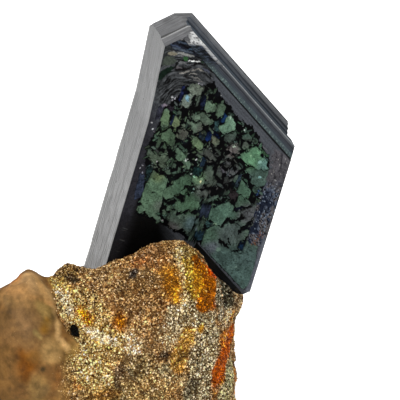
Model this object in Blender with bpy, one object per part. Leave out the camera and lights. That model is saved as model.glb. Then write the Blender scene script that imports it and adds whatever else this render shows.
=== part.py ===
# Vivianite crystal standing on a loose piece of its brown matrix rock.
# Metres, +Z up. The origin is the middle of the rock's flat underside.

import math

import bmesh
import bpy
import numpy as np
from mathutils import Euler, Matrix, Vector

MM = 0.001
TOUCHING_GAP = 0.3              # mm left between the crystal and the rock round it

# The blade, in millimetres in its own frame: x across the front face, y back into
# the crystal, z up along the blade. Its seat is where the front face's left edge leaves the rock.
BLADE_SEAT = Vector((3.1, -2.1, 35.6))
BLADE_TURN = Euler((math.radians(8.7), math.radians(14.3), math.radians(14.4)))
BLADE_THICKNESS = 12.6
BLADE_WIDTH = 31.3
BLADE_SHOULDER = 32.3           # height at which the long right edge ends
BLADE_ROOT = -14.0              # depth of the root in the rock

# Each side of the blade's outline is the straight line through two points (x, z).
# They run anticlockwise seen from the front, so the crystal lies to their left.
BLADE_SIDES = {
    "root": ((0.0, BLADE_ROOT), (13.0, BLADE_ROOT)),
    "notch": ((14.6, -9.0), (16.8, 8.6)),
    "foot": ((16.8, 8.6), (30.1, -1.8)),
    "tip": ((30.1, -1.9), (31.2, -1.0)),
    "right": ((BLADE_WIDTH + 0.6, -1.5), (BLADE_WIDTH, BLADE_SHOULDER)),
    "cap_right": ((BLADE_WIDTH, BLADE_SHOULDER), (4.1, 52.2)),
    "top": ((4.6, 52.6), (3.6, 52.4)),
    "cap_left": ((3.6, 52.6), (-1.2, 48.7)),
    "left_high": ((-1.2, 48.7), (0.0, 32.7)),
    "left_low": ((0.0, 32.7), (0.0, 0.0)),
}

# Growth slabs from the front face to the back: the depth of an outline and how
# far each side named there lies inside its line. Sides not named lie on it.
BLADE_ROWS = (
    (0.0, {"top": 1.0, "cap_right": 2.3, "right": 0.5}),
    (1.5, {"foot": -1.3}),
    (3.0, {"foot": -2.4}),
    (4.4, {"foot": -2.4}),
    (4.6, {"foot": -2.4, "cap_left": -0.25, "cap_right": 0.35, "right": 0.9}),
    (6.6, {"foot": -2.4, "cap_left": -0.25, "cap_right": 0.3, "right": 0.4}),
    (6.8, {"foot": -2.4, "cap_left": -0.25, "top": -0.1, "cap_right": -0.1, "right": 0.2}),
    (8.7, {"foot": -2.4, "cap_left": -0.25, "top": -0.1, "cap_right": -0.15, "right": -0.3}),
    (8.9, {"foot": -2.2, "cap_left": -0.25, "top": 0.2, "cap_right": -0.55, "right": -0.4}),
    (10.9, {"foot": -2.2, "cap_left": -0.25, "top": 0.5, "cap_right": -0.65, "right": -0.8}),
    (11.1, {"foot": -1.8, "cap_left": 0.1, "top": 0.7, "cap_right": -0.9, "right": -1.0}),
    (BLADE_THICKNESS, {"foot": -1.4, "cap_left": 0.45, "top": 0.9, "cap_right": -1.0, "right": -1.2,
                       "left_low": -0.2}),
)

# Growth plates that stand a little proud of the front face: outlines in (x, z).
PLATE_HEIGHT = 0.3
PLATE_SINK = 0.3
FRONT_PLATES = {
    "left_tall": ((3.4, 22.4), (3.0, 18.5), (3.0, 13.8), (4.0, 13.3), (6.3, 12.6), (7.3, 14.0),
                  (7.4, 17.4), (7.1, 21.8), (4.6, 21.9)),
    "left_slant": ((8.4, 20.8), (7.7, 18.6), (8.3, 17.2), (9.4, 18.0), (11.3, 19.6), (12.3, 20.6),
                   (12.4, 21.8), (11.3, 22.6), (10.0, 22.1)),
    "middle_wedge": ((10.0, 15.1), (12.2, 15.1), (15.0, 15.4), (15.3, 16.6), (14.6, 19.2), (13.5, 18.8),
                     (12.4, 17.8), (11.6, 18.0), (11.4, 16.5), (10.6, 16.9)),
    "middle_low": ((9.6, 13.9), (9.6, 12.3), (10.4, 11.3), (12.8, 10.4), (14.2, 10.8), (15.1, 12.2),
                   (15.2, 13.7), (14.4, 14.6), (12.1, 14.3)),
    "right_head": ((17.8, 15.4), (18.2, 13.8), (19.0, 12.9), (20.7, 13.0), (21.8, 14.9), (22.3, 16.5),
                   (22.5, 17.9), (21.2, 18.5), (18.4, 17.8)),
    "right_bridge": ((22.6, 16.3), (22.2, 14.9), (23.1, 14.3), (25.4, 15.7), (26.7, 15.9), (26.7, 17.6),
                     (25.4, 17.8)),
    "right_sheet": ((17.9, 12.2), (18.0, 8.7), (29.2, -0.1), (30.2, 1.0), (29.9, 8.6), (27.2, 8.2),
                    (25.6, 10.4), (25.2, 12.5), (26.5, 14.9), (24.9, 14.6), (23.2, 13.3), (22.0, 13.9),
                    (20.5, 12.3)),
    "spear": ((22.0, 23.8), (22.2, 19.6), (22.6, 18.3), (23.8, 18.6), (24.7, 20.0), (23.2, 22.4)),
    "shoulder": ((20.1, 29.4), (20.6, 28.4), (22.3, 27.5), (24.6, 26.9), (25.7, 27.2), (25.6, 28.4),
                 (23.9, 30.4), (22.4, 31.0)),
    "shoulder_low": ((23.5, 26.4), (23.5, 24.6), (24.7, 22.7), (26.1, 23.1), (27.2, 25.0), (25.9, 26.5)),
    "disc": ((14.6, 33.9), (15.6, 33.1), (16.7, 33.6), (17.4, 34.8), (17.2, 36.1), (16.4, 36.9),
             (15.2, 36.5), (14.7, 35.4)),
    "disc_low": ((16.1, 31.8), (17.2, 31.5), (18.0, 32.3), (17.7, 33.3), (16.2, 32.9)),
    "hatchet": ((8.0, 34.8), (8.9, 33.2), (9.3, 32.1), (10.2, 32.0), (10.8, 33.3), (11.3, 34.5),
                (12.2, 35.1), (11.9, 36.1), (9.4, 36.3)),
    "slip": ((2.3, 34.0), (2.5, 32.4), (3.5, 32.0), (4.0, 33.2), (3.8, 34.8), (3.2, 36.2), (2.4, 36.1)),
    "bean": ((4.7, 33.4), (5.2, 32.6), (6.0, 32.6), (6.3, 33.7), (5.5, 34.5), (4.8, 34.7)),
    "broad_left": ((3.2, 30.4), (3.4, 29.4), (5.8, 28.7), (6.4, 29.7), (6.1, 30.9), (4.0, 31.5)),
    "egg": ((6.4, 31.5), (7.0, 30.6), (7.9, 30.4), (8.4, 31.1), (8.0, 32.3), (7.2, 32.7)),
    "bar": ((9.6, 31.1), (10.0, 30.0), (11.6, 28.7), (12.2, 29.3), (10.6, 31.1)),
    "row_left": ((1.9, 26.2), (2.3, 24.6), (3.7, 23.8), (5.2, 23.8), (6.0, 24.5), (5.6, 25.6), (3.2, 26.2)),
    "row_middle": ((7.1, 26.3), (7.8, 25.7), (9.0, 25.9), (8.8, 26.9), (7.2, 27.8)),
    "row_right": ((9.6, 26.1), (9.9, 24.6), (10.9, 24.4), (11.2, 25.2), (10.6, 26.2)),
    "fin": ((14.0, 23.6), (14.5, 22.4), (15.4, 21.6), (16.6, 21.4), (17.1, 22.3), (15.9, 24.6), (14.3, 25.5)),
    "upper": ((10.0, 38.8), (10.4, 37.4), (12.8, 36.9), (13.9, 37.4), (13.7, 38.6), (12.5, 39.2),
              (11.4, 38.6), (10.6, 39.4)),
    "upper_left": ((4.9, 39.0), (5.4, 37.8), (6.2, 37.3), (7.8, 39.3), (7.3, 40.5), (6.2, 40.6)),
    "crest": ((-0.9, 45.6), (1.6, 46.2), (2.8, 47.0), (6.0, 47.9), (8.0, 47.1), (3.0, 50.6), (1.6, 50.7),
              (-0.7, 48.6)),
}

# Broad, very low terraces on the back face, which no picture shows.
BACK_TERRACES = {
    "upper": ((3.5, 33.0), (14.0, 29.0), (18.0, 38.0), (9.0, 45.5), (4.0, 44.0)),
    "lower": ((14.0, 24.0), (24.0, 16.0), (29.0, 18.0), (28.0, 29.0), (20.0, 31.0)),
}

# The rock, in millimetres: rounded lumps as centre and half-sizes, melted into one
# another, and pits as centre, radius and depth. Everything is seen from its heart.
ROCK_HEART = np.array((3.0, -1.0, 16.0))
ROCK_BLEND = 1.4
ROCK_LUMPS = {
    "body": ((-1.5, 0.0, 10.0), (27.0, 20.0, 19.0)),
    "right_shoulder": ((17.0, 1.0, 12.0), (11.0, 16.0, 18.0)),
    "hump": ((16.0, -4.5, 28.0), (9.5, 9.0, 13.8)),
    "hump_flank": ((8.0, -5.0, 27.0), (8.0, 8.0, 10.3)),
    "front_slope": ((11.0, -9.0, 16.0), (15.5, 11.0, 19.0)),
    "foot_ledge": ((20.5, 10.0, 19.0), (8.8, 11.0, 16.0)),
    "tip_ledge": ((25.5, 9.0, 23.0), (4.4, 5.5, 6.0)),
    "ridge": ((0.0, -3.0, 25.0), (11.0, 9.0, 10.0)),
    "lobe": ((-15.0, -13.0, 17.0), (13.5, 12.0, 17.5)),
    "lobe_peak": ((-10.8, -9.0, 33.2), (3.0, 4.0, 3.3)),
    "knob": ((-4.8, -3.0, 33.6), (2.3, 2.3, 2.6)),
    "back": ((5.0, 12.0, 9.0), (20.0, 12.0, 18.0)),
    "back_wall": ((12.5, 15.5, 19.0), (13.5, 10.0, 14.0)),
    "left_wall": ((-3.5, 8.0, 18.0), (10.0, 9.0, 11.5)),
    "left_end": ((-20.0, 2.0, 10.0), (10.5, 14.0, 14.0)),
}
ROCK_PITS = {
    "black_pit": ((-2.8, -13.0, 27.0), 2.2, 1.6),
}
ROCK_FINENESS = 5               # subdivisions of the round mesh that becomes the rock

# The rock's roughness, coarse to fine: how high it is, how far apart its bumps are, and a seed.
ROCK_RELIEF = (
    (0.9, 8.0, 11),
    (0.55, 3.6, 12),
    (0.35, 1.7, 13),
)

NOISE_SIDE = 16                 # cells after which the noise repeats
DISTANCE_LIMITS = (-20.0, 60.0)  # mm, past which a lump's distance no longer matters

# The search for the rock's skin along a ray: it steps in from outside, then halves its last step.
ROCK_REACH = 60.0               # mm, outside everything
REACH_STEPS = 60
REACH_HALVINGS = 14


def clear_scene():
    for obj in list(bpy.data.objects):
        bpy.data.objects.remove(obj, do_unlink=True)


def surface_material(name, color, roughness, metallic=0.0):
    material = bpy.data.materials.new(name)
    material.use_nodes = True
    shader = material.node_tree.nodes["Principled BSDF"]
    shader.inputs["Base Color"].default_value = (*color, 1.0)
    shader.inputs["Roughness"].default_value = roughness
    shader.inputs["Metallic"].default_value = metallic
    return material


def object_from_bmesh(name, bm, material=None):
    bmesh.ops.recalc_face_normals(bm, faces=bm.faces)
    mesh = bpy.data.meshes.new(name)
    bm.to_mesh(mesh)
    bm.free()
    obj = bpy.data.objects.new(name, mesh)
    bpy.context.scene.collection.objects.link(obj)
    if material is not None:
        mesh.materials.append(material)
    return obj


def make_tool(obj):
    obj.hide_render = True
    obj.display_type = "WIRE"
    return obj


def add_boolean(obj, tool, operation):
    modifier = obj.modifiers.new(tool.name, "BOOLEAN")
    modifier.operation = operation
    modifier.solver = "EXACT"
    modifier.object = tool


def blade_to_world():
    return Matrix.Translation(BLADE_SEAT * MM) @ BLADE_TURN.to_matrix().to_4x4() @ Matrix.Scale(MM, 4)


def moved_line(line, inset):
    """The line through two points, moved to its left by the inset: a point and a direction."""
    start = Vector(line[0])
    along = (Vector(line[1]) - start).normalized()
    return start + inset * Vector((-along.y, along.x)), along


def crossing(line_a, line_b):
    """Where two lines, each a point and a direction, cross."""
    start_a, along_a = line_a
    start_b, along_b = line_b
    turn = along_a.x * along_b.y - along_a.y * along_b.x
    between = start_b - start_a
    reach = (between.x * along_b.y - between.y * along_b.x) / turn
    return start_a + reach * along_a


def blade_outline(insets, swell):
    """The outline's corners: each is the crossing of one side's moved line with the next one's."""
    lines = [moved_line(line, insets.get(side, 0.0) - swell) for side, line in BLADE_SIDES.items()]
    return [crossing(line, lines[(k + 1) % len(lines)]) for k, line in enumerate(lines)]


def blade_bmesh(swell=0.0, proud=0.0):
    """The growth slabs as one closed body, its sides swollen and its two faces moved outwards."""
    bm = bmesh.new()
    rings = []
    for depth, insets in BLADE_ROWS:
        if depth == 0.0:
            depth -= proud
        if depth == BLADE_THICKNESS:
            depth += proud
        corners = blade_outline(insets, swell)
        rings.append([bm.verts.new((corner.x, depth, corner.y)) for corner in corners])
    count = len(BLADE_SIDES)
    for ring, deeper in zip(rings, rings[1:]):
        for k in range(count):
            nxt = (k + 1) % count
            bm.faces.new((ring[k], ring[nxt], deeper[nxt], deeper[k]))
    bm.faces.new(rings[0])
    bm.faces.new(rings[-1])
    return bm


def plates_bmesh(outlines, face_depth, outward):
    """Flat prisms that stand proud of one face and reach a little way under it."""
    bm = bmesh.new()
    top = face_depth + outward * PLATE_HEIGHT
    bottom = face_depth - outward * PLATE_SINK
    for outline in outlines.values():
        upper = [bm.verts.new((x, top, z)) for x, z in outline]
        lower = [bm.verts.new((x, bottom, z)) for x, z in outline]
        bm.faces.new(upper)
        bm.faces.new(lower)
        for k, corner in enumerate(outline):
            nxt = (k + 1) % len(outline)
            bm.faces.new((upper[k], upper[nxt], lower[nxt], lower[k]))
    return bm


def build_crystal(material):
    place = blade_to_world()
    bm = blade_bmesh()
    bm.transform(place)
    crystal = object_from_bmesh("vivianite_crystal", bm, material)
    plate_sets = (("front_plates", FRONT_PLATES, 0.0, -1.0),
                  ("back_terraces", BACK_TERRACES, BLADE_THICKNESS, 1.0))
    for name, outlines, face_depth, outward in plate_sets:
        bm = plates_bmesh(outlines, face_depth, outward)
        bm.transform(place)
        plates = make_tool(object_from_bmesh(name, bm))
        add_boolean(crystal, plates, "UNION")
    return crystal


def lattice_noise(points, cell, seed):
    """Smooth noise from -1 to 1: random values on a grid of cells, blended between its corners."""
    side = NOISE_SIDE
    values = np.random.default_rng(seed).uniform(-1.0, 1.0, (side, side, side))
    scaled = points / cell
    base = np.floor(scaled).astype(int)
    part = scaled - base
    part = part * part * (3.0 - 2.0 * part)
    total = np.zeros(len(points))
    for corner in np.ndindex(2, 2, 2):
        index = (base + corner) % side
        weight = np.prod(np.where(corner, part, 1.0 - part), axis=1)
        total += weight * values[index[:, 0], index[:, 1], index[:, 2]]
    return total


def rock_distance(points):
    """Roughly how far points lie outside the melted lumps, in millimetres; negative inside."""
    total = np.zeros(len(points))
    for centre, half_sizes in ROCK_LUMPS.values():
        offset = (points - centre) / half_sizes
        distance = (np.linalg.norm(offset, axis=1) - 1.0) * min(half_sizes)
        total += np.exp(-np.clip(distance, *DISTANCE_LIMITS) / ROCK_BLEND)
    return -ROCK_BLEND * np.log(total)


def rock_radius(directions):
    """How far the rock reaches from its heart in each direction: steps in from outside, then halves."""
    reach = np.full(len(directions), ROCK_REACH)
    inside = np.zeros(len(directions), bool)
    for k in range(REACH_STEPS):
        trial = ROCK_REACH * (1.0 - k / REACH_STEPS)
        hit = rock_distance(ROCK_HEART + directions * trial) < 0.0
        reach = np.where(~inside & hit, trial, reach)
        inside |= hit
    low = reach
    high = reach + ROCK_REACH / REACH_STEPS
    for _ in range(REACH_HALVINGS):
        middle = 0.5 * (low + high)
        hit = rock_distance(ROCK_HEART + directions * middle[:, None]) < 0.0
        low = np.where(hit, middle, low)
        high = np.where(hit, high, middle)
    return 0.5 * (low + high)


def rock_surface(directions):
    """Points of the rock's skin: the melted lumps, coarse and fine roughness, and the pits."""
    radius = rock_radius(directions)
    points = ROCK_HEART + directions * radius[:, None]
    for height, cell, seed in ROCK_RELIEF:
        radius += height * lattice_noise(points, cell, seed)
    for centre, width, depth in ROCK_PITS.values():
        away = np.linalg.norm(points - centre, axis=1)
        radius -= depth * np.exp(-(away / width) ** 2)
    return ROCK_HEART + directions * radius[:, None]


def build_matrix(material):
    bm = bmesh.new()
    bmesh.ops.create_icosphere(bm, subdivisions=ROCK_FINENESS, radius=1.0)
    directions = np.array([vert.co.normalized() for vert in bm.verts])
    skin = rock_surface(directions) * MM
    for vert, place in zip(bm.verts, skin):
        vert.co = place
    everything = bm.verts[:] + bm.edges[:] + bm.faces[:]
    bmesh.ops.bisect_plane(bm, geom=everything, plane_co=(0, 0, 0), plane_no=(0, 0, -1), clear_outer=True)
    rim = [edge for edge in bm.edges if edge.is_boundary]
    bmesh.ops.edgeloop_fill(bm, edges=rim)
    matrix = object_from_bmesh("matrix", bm, material)
    pocket_bm = blade_bmesh(swell=TOUCHING_GAP, proud=PLATE_HEIGHT + TOUCHING_GAP)
    pocket_bm.transform(blade_to_world())
    pocket = make_tool(object_from_bmesh("crystal_pocket", pocket_bm))
    add_boolean(matrix, pocket, "DIFFERENCE")
    return matrix


clear_scene()
build_crystal(surface_material("vivianite", (0.035, 0.075, 0.06), 0.22))
build_matrix(surface_material("matrix_rock", (0.36, 0.24, 0.11), 0.6))
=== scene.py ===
# Looks of a vivianite blade that stands on a loose piece of its drusy brown rock.
import math

import bpy
import numpy as np
from mathutils import Euler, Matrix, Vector


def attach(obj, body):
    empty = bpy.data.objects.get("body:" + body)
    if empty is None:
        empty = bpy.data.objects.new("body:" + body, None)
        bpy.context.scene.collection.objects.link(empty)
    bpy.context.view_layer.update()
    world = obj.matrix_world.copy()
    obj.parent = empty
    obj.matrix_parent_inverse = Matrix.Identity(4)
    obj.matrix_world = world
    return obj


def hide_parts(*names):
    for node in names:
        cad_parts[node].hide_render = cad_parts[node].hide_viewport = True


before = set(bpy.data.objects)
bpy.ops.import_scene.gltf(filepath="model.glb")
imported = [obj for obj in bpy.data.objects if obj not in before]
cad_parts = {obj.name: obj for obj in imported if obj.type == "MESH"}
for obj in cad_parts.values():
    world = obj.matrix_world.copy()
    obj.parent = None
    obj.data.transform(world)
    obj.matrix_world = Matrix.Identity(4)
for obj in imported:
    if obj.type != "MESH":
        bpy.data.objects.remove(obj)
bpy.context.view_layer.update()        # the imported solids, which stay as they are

mm = 0.001

# The blade in mm, in its own frame: x across the front face, y back into the crystal, z up the blade.
blade = {
    "seat": (3.1, -2.1, 35.6),       # where the front face's left edge leaves the rock
    "turn": (8.7, 14.3, 14.4),       # degrees about x, y and z
    "width": 31.3,
    "thickness": 12.6,
    "shoulder": 32.3,                # height at which the long right edge ends
    "root": -14.0,                   # how deep the blade reaches into the rock
    "sheets": 64,                    # growth sheets between the front and the back
    "ledge": 0.07,                   # how far one sheet's edge may stand back from the next
    "riser": 0.03,                   # height of the step between two sheets
    "waver": ((2.1, 0.45), 31),      # cells of the sheets' wavering edges, along and across, and their seed
    "firstDepth": 0.12,              # the body starts this far under the front sheet's glassy level
    "chamferDepth": 1.45,            # down to here the right and upper sides belong to the chamfer
    "seed": 4,
}

# Each side of the outline, anticlockwise seen from the front: two points (x, z) of its line, the number of
# points along it on every growth sheet, and its look.
bladeSides = {
    "root": ((0.0, blade["root"]), (13.0, blade["root"]), 3, "foot"),
    "notch": ((14.6, -9.0), (16.8, 8.6), 8, "foot"),
    "foot": ((16.8, 8.6), (30.1, -1.8), 26, "foot"),
    "tip": ((30.1, -1.9), (31.2, -1.0), 3, "foot"),
    "right": ((blade["width"] + 0.6, -1.5), (blade["width"], blade["shoulder"]), 34, "rightEdge"),
    "capRight": ((blade["width"], blade["shoulder"]), (4.1, 52.2), 44, "capRight"),
    "top": ((4.6, 52.6), (3.6, 52.4), 3, "capLeft"),
    "capLeft": ((3.6, 52.6), (-1.2, 48.7), 9, "capLeft"),
    "leftHigh": ((-1.2, 48.7), (0.0, 32.7), 18, "leftSide"),
    "leftLow": ((0.0, 32.7), (0.0, 0.0), 44, "leftSide"),
}
leftEdge = ((0.0, 32.7, 48.7, 56.7), (0.0, 0.0, -1.2, -1.8))    # heights up the blade, and x there
capSlope = (0.807, -0.590)                                      # heading of the right cap's lines in (x, z)

# Growth slabs, front to back: a depth, and how far each of these sides lies inside its line there.
slabSides = ("foot", "capLeft", "top", "capRight", "right", "leftLow", "leftHigh")
growthSlabs = (
    (0.0, 0.0, 0.0, 1.0, 2.3, 0.5, 0.0, 0.0),
    (1.5, -1.3, 0.0, 0.0, 0.0, 0.0, 0.0, 0.0),
    (3.0, -2.4, 0.0, 0.0, 0.0, 0.0, 0.0, 0.0),
    (4.4, -2.4, 0.0, 0.0, 0.0, 0.0, 0.0, 0.0),
    (4.6, -2.4, -0.25, 0.0, 0.35, 0.9, 0.0, 0.0),
    (6.6, -2.4, -0.25, 0.0, 0.3, 0.4, -0.12, -0.1),
    (6.8, -2.4, -0.25, -0.1, -0.1, 0.2, -0.13, -0.11),
    (8.7, -2.4, -0.25, -0.1, -0.15, -0.3, -0.27, -0.22),
    (8.9, -2.2, -0.25, 0.2, -0.55, -0.4, -0.28, -0.23),
    (10.9, -2.2, -0.25, 0.5, -0.65, -0.8, -0.43, -0.36),
    (11.1, -1.8, 0.1, 0.7, -0.9, -1.0, -0.45, -0.37),
    (12.6, -1.4, 0.45, 0.9, -1.0, -1.2, -0.6, -0.5),
)


bladeTurn = np.array(Euler([math.radians(angle) for angle in blade["turn"]]).to_matrix())


def bladeToWorld(x, depth, z):
    # turns and shifts points of the blade's frame, in mm, into the scene, in metres
    points = np.stack(np.broadcast_arrays(x, depth, z), -1).reshape(-1, 3)
    return (points @ bladeTurn.T + np.array(blade["seat"])) * mm


def inMm(row, across=2):
    # a row of numbers in tenths of a millimetre as points with two or three coordinates in mm
    return np.array(row).reshape(-1, across) / 10.0


def linear(colour):
    # a colour as the eye reads it, 0 to 255, into the renderer's linear values
    share = np.asarray(colour, float) / 255.0
    return np.where(share <= 0.04045, share / 12.92, ((share + 0.055) / 1.055) ** 2.4)


def eased(share):
    # a share from 0 to 1 as a smooth step: three of its squares less two of its cubes
    return share * share * (3.0 - 2.0 * share)


def ramp(value, low, high):
    # smooth step from 0 at low to 1 at high
    return eased(np.clip((value - low) / (high - low), 0.0, 1.0))


def latticeNoise(points, cell, seed):
    # random values on a grid of cells, blended smoothly between the corners, from -1 to 1
    side = 16
    values = np.random.default_rng(seed).uniform(-1.0, 1.0, (side, side, side))
    scaled = points / cell
    base = np.floor(scaled).astype(int)
    part = eased(scaled - base)
    total = np.zeros(len(points))
    for corner in np.ndindex(2, 2, 2):
        index = (base + corner) % side
        weight = np.prod(np.where(corner, part, 1.0 - part), axis=1)
        total += weight * values[index[:, 0], index[:, 1], index[:, 2]]
    return total


def flatNoise(x, z, cellX, cellZ, seed):
    # the same on a plane, with cells of two different lengths
    side = 64
    values = np.random.default_rng(seed).uniform(-1.0, 1.0, (side, side))
    column, row = x / cellX, z / cellZ
    baseX, baseZ = np.floor(column).astype(int), np.floor(row).astype(int)
    partX, partZ = eased(column - baseX), eased(row - baseZ)
    near, far = (values[baseX % side, rowZ % side] * (1 - partX)
                 + values[(baseX + 1) % side, rowZ % side] * partX for rowZ in (baseZ, baseZ + 1))
    return near * (1 - partZ) + far * partZ


def signedVolume(points, corners):
    # six times the volume that triangles close in: each one's triple product with the origin
    a, b, c = (points[corners[:, k]] for k in range(3))
    return float(np.sum(a * np.cross(b, c)))


def meshPiece(name, points, quads=None, triangles=None, polygon=None, smooth=True):
    # points and whole arrays of faces into a mesh; a closed shape that came out inside out is turned round
    quads = np.zeros((0, 4), int) if quads is None else quads
    triangles = np.zeros((0, 3), int) if triangles is None else triangles
    polygons = [] if polygon is None else polygon
    flat = np.concatenate([quads[:, (0, 1, 2)], quads[:, (0, 2, 3)], triangles])
    for corners in polygons:
        fan = np.stack([np.full(len(corners) - 2, corners[0]), corners[1:-1], corners[2:]], 1)
        flat = np.concatenate([flat, fan])
    if signedVolume(points - points.mean(axis=0), flat) < 0.0:
        quads = quads[:, ::-1]
        triangles = triangles[:, ::-1]
        polygons = [corners[::-1] for corners in polygons]
    sizes = [np.full(len(quads), 4), np.full(len(triangles), 3), [len(corners) for corners in polygons]]
    sizes = np.concatenate(sizes).astype(int)
    corners = np.concatenate([quads.ravel(), triangles.ravel(), *polygons]).astype(int)
    mesh = bpy.data.meshes.new(name)
    mesh.vertices.add(len(points))
    mesh.vertices.foreach_set("co", np.ascontiguousarray(points, dtype=np.float32).ravel())
    mesh.loops.add(len(corners))
    mesh.loops.foreach_set("vertex_index", corners.astype(np.int32))
    mesh.polygons.add(len(sizes))
    mesh.polygons.foreach_set("loop_start", np.concatenate([[0], np.cumsum(sizes)[:-1]]).astype(np.int32))
    mesh.polygons.foreach_set("use_smooth", np.full(len(sizes), smooth))
    mesh.update(calc_edges=True)
    mesh.validate()
    piece = bpy.data.objects.new(name, mesh)
    bpy.context.scene.collection.objects.link(piece)
    return piece


def paintPoints(piece, name, colour):
    # one linear colour for each point of the mesh
    layer = piece.data.color_attributes.new(name, "FLOAT_COLOR", "POINT")
    rgba = np.ones((len(colour), 4), np.float32)
    rgba[:, :3] = colour
    layer.data.foreach_set("color", rgba.ravel())


def newFinish(name, specular, roughness):
    # a new material with its node tree and its Principled shader
    material = bpy.data.materials.new(name)
    material.use_nodes = True
    shader = material.node_tree.nodes["Principled BSDF"]
    shader.inputs["Specular IOR Level"].default_value = specular
    shader.inputs["Roughness"].default_value = roughness
    return material, material.node_tree, shader


def node(tree, kind, links=None, **settings):
    # adds a node, sets its properties and sockets, and links what feeds it
    made = tree.nodes.new(kind)
    for key, value in settings.items():
        if hasattr(made, key):
            setattr(made, key, value)
        else:
            made.inputs[key.replace("_", " ")].default_value = value
    for key, source in (links or {}).items():
        tree.links.new(source, made.inputs[key])
    return made


def attribute(tree, name):
    return node(tree, "ShaderNodeAttribute", attribute_name=name).outputs["Color"]


def bladeSpace(tree):
    # Object coordinates turned into the blade's frame, in mm
    coordinates = node(tree, "ShaderNodeTexCoord").outputs["Object"]
    mapping = node(tree, "ShaderNodeMapping", {"Vector": coordinates}, vector_type="TEXTURE")
    mapping.inputs["Location"].default_value = [value * mm for value in blade["seat"]]
    mapping.inputs["Rotation"].default_value = [math.radians(angle) for angle in blade["turn"]]
    mapping.inputs["Scale"].default_value = (mm, mm, mm)
    return mapping.outputs["Vector"]


def stretched(tree, vector, scale):
    # a vector multiplied along its three axes
    scaled = node(tree, "ShaderNodeVectorMath", {0: vector}, operation="MULTIPLY")
    scaled.inputs[1].default_value = scale
    return scaled.outputs["Vector"]


def noise(tree, vector, scale, detail=3.0, roughness=0.55):
    made = node(tree, "ShaderNodeTexNoise", {"Vector": vector}, Scale=scale, Detail=detail,
                Roughness=roughness)
    return made.outputs["Fac"]


def mapped(tree, source, low, high, outLow=0.0, outHigh=1.0):
    # a number moved from one range into another, and kept inside it
    made = node(tree, "ShaderNodeMapRange", {"Value": source})
    for key, value in (("From Min", low), ("From Max", high), ("To Min", outLow), ("To Max", outHigh)):
        made.inputs[key].default_value = value
    return made.outputs["Result"]


def mixed(tree, share, first, second):
    # two colours mixed; each is a socket or a colour
    made = node(tree, "ShaderNodeMix", {0: share}, data_type="RGBA")
    for index, value in ((6, first), (7, second)):
        if isinstance(value, bpy.types.NodeSocket):
            tree.links.new(value, made.inputs[index])
        else:
            made.inputs[index].default_value = (*linear(value), 1.0)
    return made.outputs[2]


def product(tree, first, second):
    return node(tree, "ShaderNodeMath", {0: first, 1: second}, operation="MULTIPLY").outputs[0]


def shadedBy(tree, colour, share):
    # a colour made lighter or darker by a number
    made = node(tree, "ShaderNodeVectorMath", {0: colour, "Scale": share}, operation="SCALE")
    return made.outputs["Vector"]


def bumped(tree, shader, height, distance):
    bump = node(tree, "ShaderNodeBump", {"Height": height}, Distance=distance)
    tree.links.new(bump.outputs["Normal"], shader.inputs["Normal"])


# Sides of the blade: colours by depth behind the front face in mm, how strongly streaks vary them, how
# the streaks stretch along and across the growth sheets, and how the side shines.
sideLooks = {
    # left side: its light grey is a painted reflection of the bright room on the dark crystal at a grazing
    # angle
    "leftSide": {"colours": ((0.0, (128, 129, 131)), (0.3, (119, 120, 121)), (6.0, (122, 123, 124)),
                             (11.8, (120, 121, 122)), (12.4, (138, 139, 140))),
                 "streaks": (0.86, 1.14), "along": 0.04, "across": 1.5, "specular": 0.45, "roughness": 0.36},
    # left cap: its grey is partly a painted reflection of the bright room; the dark stops at 4.45 and 11.7 mm
    # are painted shade at the growth steps, the bright ones at 4.15 to 4.3 mm and from 12.0 mm painted
    # highlights on their edges
    "capLeft": {"colours": ((0.0, (66, 67, 70)), (0.5, (92, 93, 96)), (3.8, (104, 105, 107)),
                            (4.15, (150, 151, 152)), (4.3, (150, 151, 152)), (4.45, (46, 46, 48)),
                            (4.8, (86, 87, 89)), (6.0, (98, 99, 101)), (11.4, (98, 99, 101)),
                            (11.7, (52, 52, 54)), (12.0, (150, 151, 152)), (12.6, (150, 151, 152))),
                "streaks": (0.5, 1.5), "along": 0.16, "across": 2.4, "specular": 0.4, "roughness": 0.4},
    # right cap: the bright stops at 1.5 and 1.8 mm are the crest's painted highlight, the dark ones at 6.75
    # and 8.85 mm painted shade at the growth steps
    "capRight": {"colours": ((1.5, (132, 136, 140)), (1.8, (104, 109, 114)), (2.3, (50, 58, 66)),
                             (3.6, (70, 78, 86)), (4.5, (64, 72, 80)), (5.6, (80, 88, 96)),
                             (6.5, (70, 77, 85)),
                             (6.75, (40, 45, 51)), (7.1, (66, 71, 78)), (8.6, (82, 86, 92)),
                             (8.85, (50, 53, 58)),
                             (9.3, (92, 95, 100)), (11.0, (100, 102, 105)), (12.6, (106, 107, 110))),
                 "streaks": (0.55, 1.5), "along": 0.03, "across": 2.2, "specular": 0.06, "roughness": 0.5},
    # chamfer: the bright stops at 1.36 and 1.46 mm are the crest's painted highlight
    "chamfer": {"colours": ((0.0, (14, 16, 18)), (0.13, (14, 16, 18)), (0.2, (68, 80, 82)),
                            (0.5, (66, 76, 80)),
                            (0.68, (54, 60, 67)), (0.98, (60, 63, 69)), (1.08, (36, 38, 43)),
                            (1.2, (60, 62, 67)),
                            (1.36, (84, 87, 91)), (1.46, (130, 134, 137))),
                "streaks": (0.7, 1.3), "along": 0.05, "across": 6.0, "specular": 0.06, "roughness": 0.5},
    "rightEdge": {"colours": ((0.0, (92, 95, 100)), (0.5, (58, 60, 64)), (1.5, (96, 98, 102)),
                              (3.0, (52, 54, 58)),
                              (12.6, (84, 86, 90))),
                  "streaks": (0.6, 1.4), "along": 0.2, "across": 2.0, "specular": 0.12, "roughness": 0.45},
    "foot": {"colours": ((0.0, (13, 14, 16)), (1.2, (26, 28, 31)), (12.6, (32, 34, 37))),
             "streaks": (0.75, 1.25), "along": 0.1, "across": 1.2, "specular": 0.08, "roughness": 0.45},
}
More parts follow.
